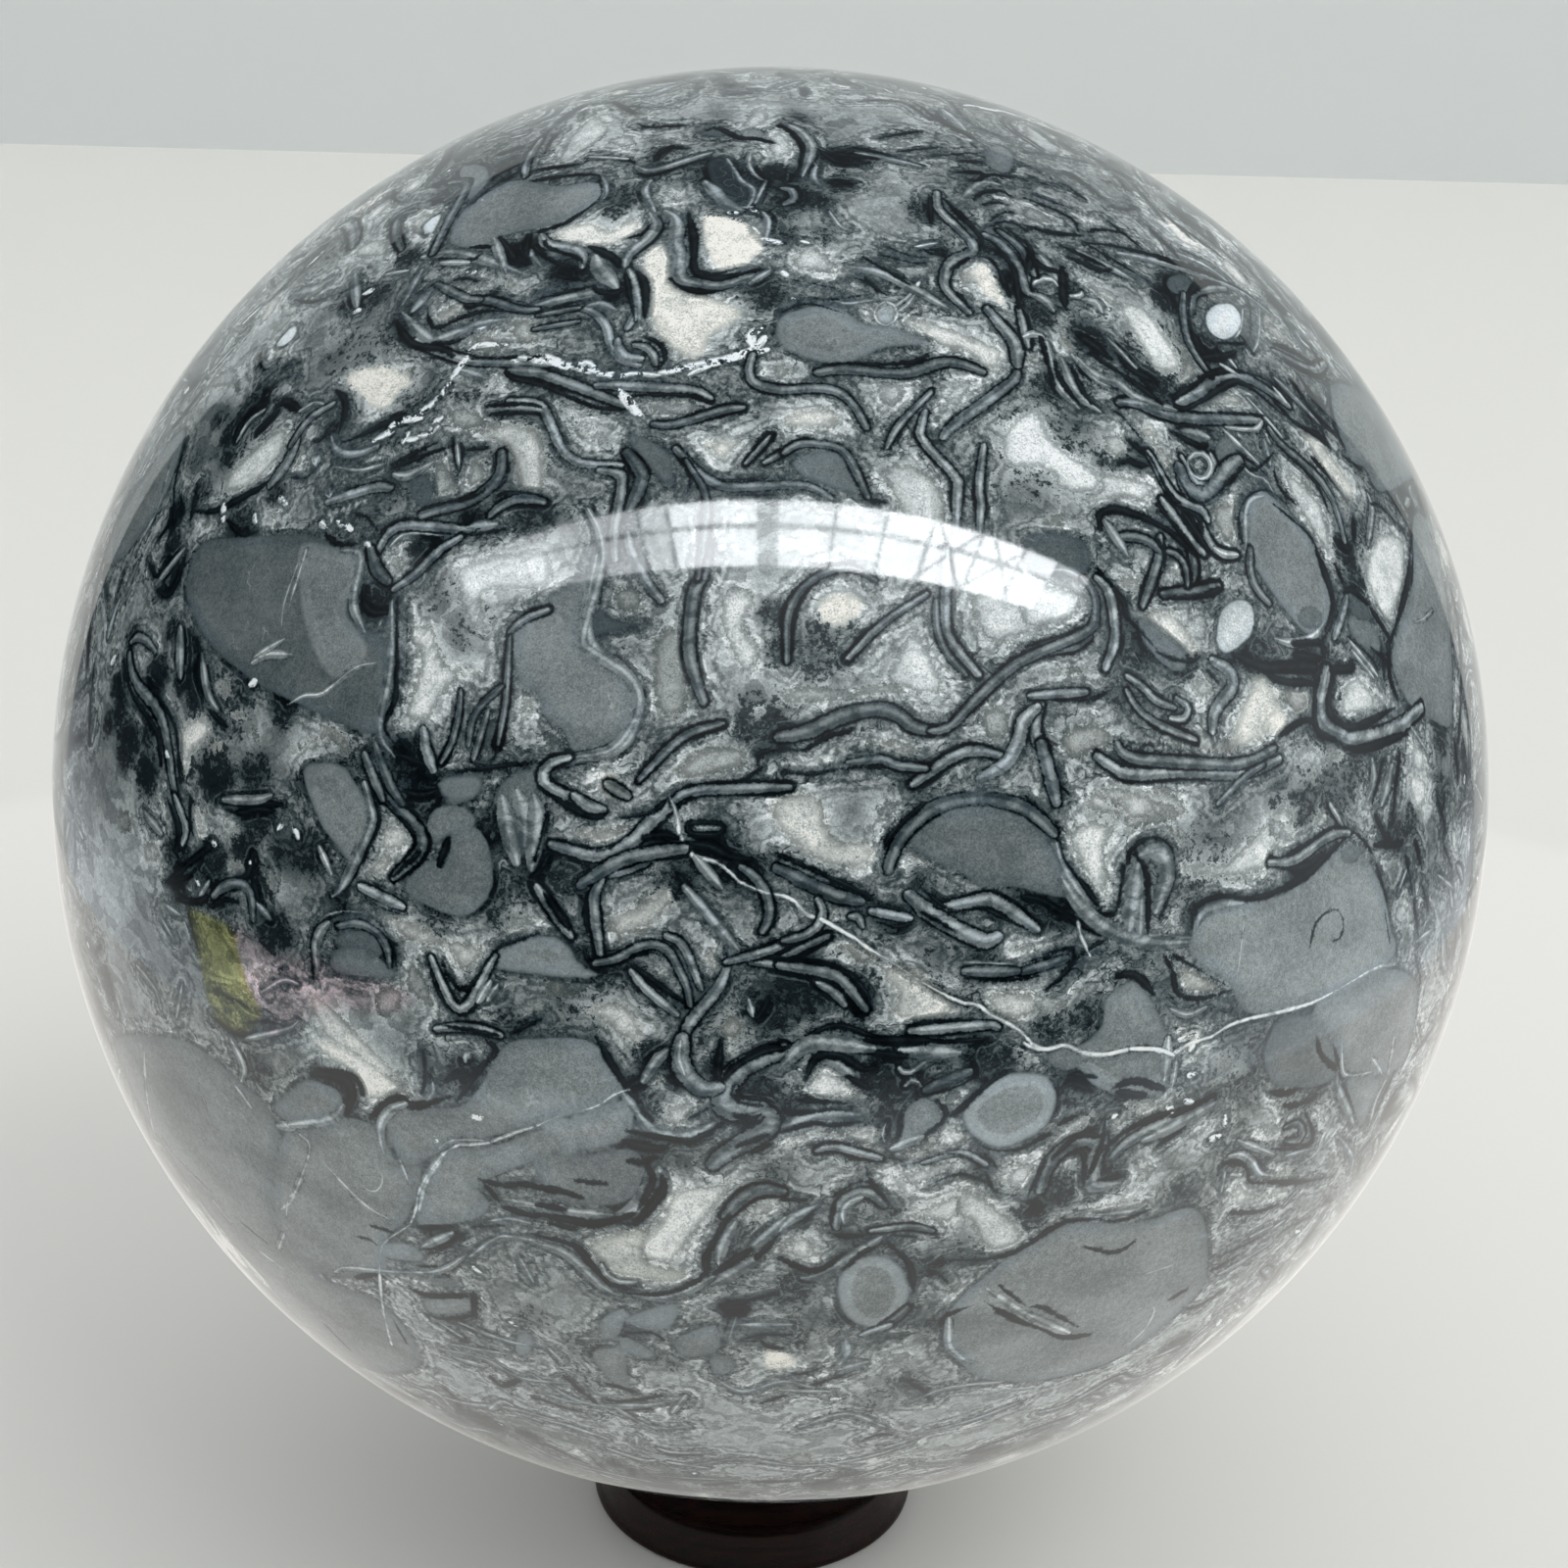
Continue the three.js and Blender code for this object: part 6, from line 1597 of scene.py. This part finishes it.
foot_radius = FOOT_DIAMETER / 2
step_radius = foot_radius - FOOT_TAPER
edge = arc((step_radius - FOOT_EDGE_ROUND, FOOT_EDGE_HEIGHT - FOOT_EDGE_ROUND), FOOT_EDGE_ROUND, 10, 85)
lip = arc((LIP_RING_RADIUS, LIP_CENTRE_HEIGHT), LIP_SECTION_RADIUS, -40, 130)
dish_bottom = (0.0, LIP_CENTRE_HEIGHT + LIP_SECTION_RADIUS - DISH_DEPTH)
profile = [(0.0, 0.0), (foot_radius - UNDERSIDE_CHAMFER, 0.0), (foot_radius, UNDERSIDE_CHAMFER)]
profile += edge + curved(edge[-1], (WAIST_RADIUS - 1, WAIST_HEIGHT), lip[0]) + lip
profile += curved(lip[-1], (lip[-1][0] * 0.6, dish_bottom[1]), dish_bottom) + [dish_bottom]

wood = bpy.data.materials.new("lacquered_dark_wood")
wood.use_nodes = True
tree, tree_in, tree_out = new_tree(
    "turning",
    [("Profile", "NodeSocketObject"), ("Turn Steps", "NodeSocketInt"), ("Profile Steps", "NodeSocketInt")],
)
outline = add_node(tree, "GeometryNodeObjectInfo", [("Object", tree_in.outputs["Profile"])])
outline_curve = add_node(tree, "GeometryNodeMeshToCurve", [("Mesh", outline.outputs["Geometry"])])
sheet = add_node(
    tree,
    "GeometryNodeMeshGrid",
    [("Size X", 1.0), ("Size Y", 1.0), ("Vertices X", tree_in.outputs["Turn Steps"]),
     ("Vertices Y", tree_in.outputs["Profile Steps"])],
)
on_sheet = add_node(
    tree, "ShaderNodeSeparateXYZ", [(0, add_node(tree, "GeometryNodeInputPosition").outputs[0])]
)
angle = plain_math(tree, "MULTIPLY", plain_math(tree, "ADD", on_sheet.outputs[0], 0.5), 2 * math.pi)
sample = add_node(
    tree,
    "GeometryNodeSampleCurve",
    [("Curves", outline_curve.outputs[0]), ("Factor", plain_math(tree, "ADD", on_sheet.outputs[1], 0.5))],
    mode="FACTOR",
    use_all_curves=True,
)
sampled = add_node(tree, "ShaderNodeSeparateXYZ", [(0, sample.outputs["Position"])])
turned = add_node(
    tree,
    "ShaderNodeCombineXYZ",
    [(0, plain_math(tree, "MULTIPLY", sampled.outputs[0], plain_math(tree, "COSINE", angle))),
     (1, plain_math(tree, "MULTIPLY", sampled.outputs[0], plain_math(tree, "SINE", angle))),
     (2, sampled.outputs[2])],
)
moved = add_node(
    tree, "GeometryNodeSetPosition", [("Geometry", sheet.outputs["Mesh"]), ("Position", turned.outputs[0])]
)
WELD = 0.00001
welded = add_node(tree, "GeometryNodeMergeByDistance", [("Geometry", moved.outputs[0]), ("Distance", WELD)])
finish_tree(tree, tree_out, welded.outputs[0], wood)
profile_mesh = bpy.data.meshes.new("stand_profile")
profile_mesh.from_pydata(
    [(r / 1000, 0.0, z / 1000) for r, z in profile], [(i, i + 1) for i in range(len(profile) - 1)], []
)
profile_object = bpy.data.objects.new("stand_profile", profile_mesh)
bpy.context.scene.collection.objects.link(profile_object)
stand = mesh_from_tree(
    "turned_stand",
    tree,
    wood,
    [("Profile", profile_object), ("Turn Steps", TURN_STEPS + 1), ("Profile Steps", PROFILE_STEPS + 1)],
)
bpy.data.objects.remove(profile_object)
bpy.data.meshes.remove(profile_mesh)

# Straight grain runs across the turned piece, and the tool left faint rings under the lacquer.
tree = wood.node_tree
tree.nodes.clear()
coordinates = add_node(tree, "ShaderNodeTexCoord")
millimetres = scaled(tree, coordinates.outputs["Object"], 1000.0)
grain = noise(tree, vector_math(tree, "MULTIPLY", millimetres, (0.12, 1.6, 1.6)), 1.0, 4.0, 0.6, 0.4)
pores = noise(tree, vector_math(tree, "MULTIPLY", millimetres, (0.5, 9.0, 9.0)), 1.0, 2.0)
x, y, z = parts_of(tree, millimetres)
from_axis = (x * x + y * y).made("SQRT", x * x + y * y)
turning = add_node(tree, "ShaderNodeCombineXYZ", [(0, from_axis.socket), (2, z.socket)])
rings = noise(tree, turning.outputs[0], 2.4, 3.0, 0.6)
WOOD_DARK = (0.004, 0.0022, 0.002)
WOOD_RED = (0.016, 0.005, 0.004)
colour = mixed(tree, WOOD_DARK, WOOD_RED, (grain * 0.7 + pores * 0.3).ramp(0.35, 0.65))
gloss = (rings * 0.6 + pores * 0.4).ramp(0.3, 0.7, 0.22, 0.36)
height = rings * 0.7 + pores * 0.3
RING_HEIGHT = 0.00008
LACQUER_IOR = 1.24
relief = add_node(
    tree, "ShaderNodeBump", [("Height", height.socket), ("Strength", 0.35), ("Distance", RING_HEIGHT)]
)
shader = add_node(
    tree,
    "ShaderNodeBsdfPrincipled",
    [("Base Color", colour), ("Roughness", gloss.socket), ("IOR", LACQUER_IOR),
     ("Normal", relief.outputs[0])],
)
add_node(tree, "ShaderNodeOutputMaterial", [("Surface", shader.outputs[0])])
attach(stand, "root")
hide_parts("stand")

# The room: a pale table top that ends in a low pale wall a little way behind the ball.
TABLE_HALF_WIDTH = 2.0
TABLE_FRONT = -2.0
WALL_DISTANCE = 0.43
WALL_HEIGHT = 0.32
corners = [
    (-TABLE_HALF_WIDTH, TABLE_FRONT, 0), (TABLE_HALF_WIDTH, TABLE_FRONT, 0),
    (TABLE_HALF_WIDTH, WALL_DISTANCE, 0), (-TABLE_HALF_WIDTH, WALL_DISTANCE, 0),
    (TABLE_HALF_WIDTH, WALL_DISTANCE, WALL_HEIGHT), (-TABLE_HALF_WIDTH, WALL_DISTANCE, WALL_HEIGHT),
]


def plain_material(name, paint, roughness):
    """A material of one colour, for the table and the wall."""
    material = bpy.data.materials.new(name)
    material.use_nodes = True
    material.node_tree.nodes["Principled BSDF"].inputs["Base Color"].default_value = (*paint, 1.0)
    material.node_tree.nodes["Principled BSDF"].inputs["Roughness"].default_value = roughness
    return material


def stage_mesh(name, points, faces, material):
    """A mesh object of the room, which is no part of the stone or its stand."""
    mesh = bpy.data.meshes.new(name)
    mesh.from_pydata(points, [], faces)
    mesh.materials.append(material)
    piece = bpy.data.objects.new(name, mesh)
    bpy.context.scene.collection.objects.link(piece)
    return piece


TABLE_PAINT = (0.80, 0.785, 0.745)
WALL_PAINT = (0.70, 0.725, 0.715)
stage_mesh("table", corners, [(0, 1, 2, 3)], plain_material("table", TABLE_PAINT, 0.5))
stage_mesh("wall", corners, [(3, 2, 4, 5)], plain_material("wall", WALL_PAINT, 0.8))


def only_reflected(piece):
    """Hides an object from everything but reflections."""
    piece.visible_camera = False
    piece.visible_diffuse = False
    piece.visible_transmission = False
    piece.visible_shadow = False


# What the ball mirrors besides the window. The room above is dim. A dark card stands round the front of the
# table: black in front, where it keeps the stone's blacks deep, and grey to the right and along its edges.
# Inside it the table shines, most of all to the right.
CARD_RADIUS = 0.15
CARD_TOP = 0.18
CARD_HALF_ANGLE = 125
CARD_ANGLES = 51
CARD_ROWS = 19
CARD_FOOT_GLOW = (1.05, 0.035, 0.022)  # radiance at the foot, where it ends, and how much higher to the left
CARD_TOP_GLOW = (0.60, 0.115)  # radiance at the top, and the height where it begins
CARD_RIGHT_GLOW = (0.72, 35.0, 68.0)  # radiance, and the angles in degrees where it begins and is full
DOME_GLOW = 0.13
DOME_RADIUS = 3.5
DOME_FOOT = -4


def glowing_material(name, hue):
    """A material that gives off light of one hue, as much as the mesh attribute "strength" says."""
    material = bpy.data.materials.new(name)
    material.use_nodes = True
    material.node_tree.nodes.clear()
    strength = add_node(material.node_tree, "ShaderNodeAttribute", attribute_name="strength")
    lit = add_node(
        material.node_tree,
        "ShaderNodeEmission",
        [("Color", (*hue, 1.0)), ("Strength", strength.outputs["Fac"])],
    )
    add_node(material.node_tree, "ShaderNodeOutputMaterial", [("Surface", lit.outputs[0])])
    material.cycles.emission_sampling = "NONE"
    return material


def glowing_grid(name, rows, strengths, hue=(0.93, 0.97, 1.0)):
    """A mesh of rows of points, seen in reflections only. Each point gives off light of its own strength."""
    rows = np.asarray(rows, dtype=float)
    across = rows.shape[1]
    faces = []
    for row in range(len(rows) - 1):
        for column in range(across - 1):
            here = row * across + column
            faces.append((here, here + 1, here + across + 1, here + across))
    piece = stage_mesh(name, rows.reshape(-1, 3).tolist(), faces, glowing_material(name, hue))
    layer = piece.data.attributes.new("strength", "FLOAT", "POINT")
    layer.data.foreach_set("value", np.asarray(strengths, dtype=np.float32).ravel())
    only_reflected(piece)


def fade(values, start, end):
    """0 at start, 1 at end, smooth between them."""
    t = np.clip((values - start) / (end - start), 0, 1)
    return t * t * (3 - 2 * t)


angles, heights = np.meshgrid(
    np.linspace(-CARD_HALF_ANGLE, CARD_HALF_ANGLE, CARD_ANGLES), np.linspace(0.001, CARD_TOP, CARD_ROWS)
)
foot_ends = CARD_FOOT_GLOW[1] + CARD_FOOT_GLOW[2] * fade(angles, -70.0, -105.0)
card_glow = CARD_FOOT_GLOW[0] * fade(heights, foot_ends, 0)
to_top = fade(heights, CARD_TOP_GLOW[1], CARD_TOP)
card_glow += CARD_TOP_GLOW[0] * to_top * fade(np.abs(angles), 75.0, 45.0)
right_glow = CARD_RIGHT_GLOW[0] * fade(angles, CARD_RIGHT_GLOW[1], CARD_RIGHT_GLOW[2])
right_glow *= 1.0 - 0.75 * fade(angles, 78.0, 105.0)
card_glow += right_glow * (1.0 - to_top)
card_glow += DOME_GLOW * to_top
turns = np.radians(angles)
card_places = np.stack([CARD_RADIUS * np.sin(turns), -CARD_RADIUS * np.cos(turns), heights], axis=2)
glowing_grid("dark_card", card_places, card_glow)
FLOOR_GLOW = (1.0, 0.22)  # radiance of the table inside the card, and how much more it has to the right
FLOOR_SHADE = (0.012, 0.055)  # the ball's shade ends between these distances from its axis
angles, radii = np.meshgrid(np.linspace(-180, 180, 73), np.linspace(0.013, CARD_RADIUS + 0.001, 12))
turns = np.radians(angles)
glowing_grid(
    "bright_table",
    np.stack([radii * np.sin(turns), -radii * np.cos(turns), np.full(radii.shape, 0.0008)], axis=2),
    (FLOOR_GLOW[0] + FLOOR_GLOW[1] * fade(angles, -10.0, 60.0) * fade(angles, 150.0, 90.0))
    * (0.45 + 0.55 * fade(radii, *FLOOR_SHADE)),
    (1.0, 0.975, 0.93),
)
rises, turns = np.meshgrid(
    np.radians(np.linspace(DOME_FOOT, 90, 16)), np.radians(np.linspace(0, 360, 49)), indexing="ij"
)
dome_places = np.stack([np.cos(rises) * np.cos(turns), np.cos(rises) * np.sin(turns), np.sin(rises)], axis=2)
glowing_grid("dim_room", DOME_RADIUS * dome_places, np.full(rises.shape, DOME_GLOW))

# A strip of roof window above the front of the table, in two rows of panes, mirrored in the ball.
PANE_HEIGHT = 2.0
PANE_ROWS = [(-1.34, -1.07), (-1.03, -0.88)]
PANES = [
    (-3.0, -2.3, 2.0), (-2.26, -1.65, 4.0), (-1.61, -1.08, 6.0), (-1.04, -0.78, 8.0), (-0.75, -0.61, 10.0),
    (-0.58, -0.11, 16.0), (0.01, 0.30, 15.0), (0.32, 0.58, 17.0), (0.60, 0.85, 19.0), (0.88, 1.18, 22.0),
    (1.20, 1.50, 22.0), (1.53, 1.80, 20.0), (1.83, 2.15, 8.0),
]
PANE_GAP_GLOW = 0.38  # the bars between the panes are this bright against the panes
PANE_HAZE = [
    (-2.7, 0.02), (-2.0, 0.08), (-1.345, 0.18), (-1.34, 1.0), (-0.88, 1.0), (-0.875, 0.05), (-0.5, 0.02),
]
BRACES = [(0.80, 1.14), (1.14, 0.88), (1.12, 1.50), (1.55, 1.25)]
BRACE_WIDTH = 0.03
pane_top = ball_centre.z + PANE_HEIGHT
pane_middles = np.array([(left + right) / 2 for left, right, strength in PANES])
pane_strengths = np.array([strength for left, right, strength in PANES])
for index, (left, right, strength) in enumerate(PANES):
    for row, (front, back) in enumerate(PANE_ROWS):
        corner_rows = [[(left, front, pane_top), (right, front, pane_top)],
                       [(left, back, pane_top), (right, back, pane_top)]]
        glowing_grid("pane_%d_%d" % (index, row), corner_rows, [[strength] * 2] * 2)
haze_x = np.linspace(-3.3, 2.45, 47)
haze_rows = [[(x, y, pane_top + 0.01) for x in haze_x] for y, share in PANE_HAZE]
haze_strengths = np.interp(haze_x, pane_middles, pane_strengths, left=0.5, right=2.0) * PANE_GAP_GLOW
glowing_grid("window_haze", haze_rows, [haze_strengths * share for y, share in PANE_HAZE])
for index, (front_x, back_x) in enumerate(BRACES):
    front, back, height = PANE_ROWS[0][0], PANE_ROWS[1][1], pane_top - 0.02
    brace = [[(front_x, front, height), (front_x + BRACE_WIDTH, front, height)],
             [(back_x, back, height), (back_x + BRACE_WIDTH, back, height)]]
    glowing_grid("roof_brace_%d" % index, brace, [[PANES[-3][2] * PANE_GAP_GLOW] * 2] * 2)

# The light that falls on everything: a large soft box above the front, and a pale room that is darker
# towards the floor, so that the shadow under the ball is deep.
SOFT_BOX_PLACE = Vector((1.05, -0.75, 1.5))
SOFT_BOX_WATTS = 14.0
ROOM_HUE = (0.95, 0.98, 1.0)
ROOM_LIGHT = (0.34, 0.90)  # near the floor, and overhead
AIM_HEIGHT = 0.06
soft_light = bpy.data.lights.new("soft_box", "AREA")
soft_light.shape = "RECTANGLE"
soft_light.size = 1.8
soft_light.size_y = 1.0
soft_light.energy = SOFT_BOX_WATTS
soft_box = bpy.data.objects.new("soft_box", soft_light)
away_from_aim = SOFT_BOX_PLACE - Vector((0.0, 0.0, AIM_HEIGHT))
soft_box.matrix_world = (
    Matrix.Translation(SOFT_BOX_PLACE) @ away_from_aim.to_track_quat("Z", "Y").to_matrix().to_4x4()
)
soft_box.visible_glossy = False
bpy.context.scene.collection.objects.link(soft_box)
world = bpy.data.worlds.new("room")
bpy.context.scene.world = world
world.use_nodes = True
world.node_tree.nodes["Background"].inputs["Color"].default_value = (*ROOM_HUE, 1.0)
direction = add_node(world.node_tree, "ShaderNodeTexCoord").outputs["Generated"]
rise = parts_of(world.node_tree, direction)[2].ramp(-0.05, 0.65, *ROOM_LIGHT)
world.node_tree.links.new(rise.socket, world.node_tree.nodes["Background"].inputs["Strength"])
bpy.context.scene.view_settings.view_transform = "Standard"
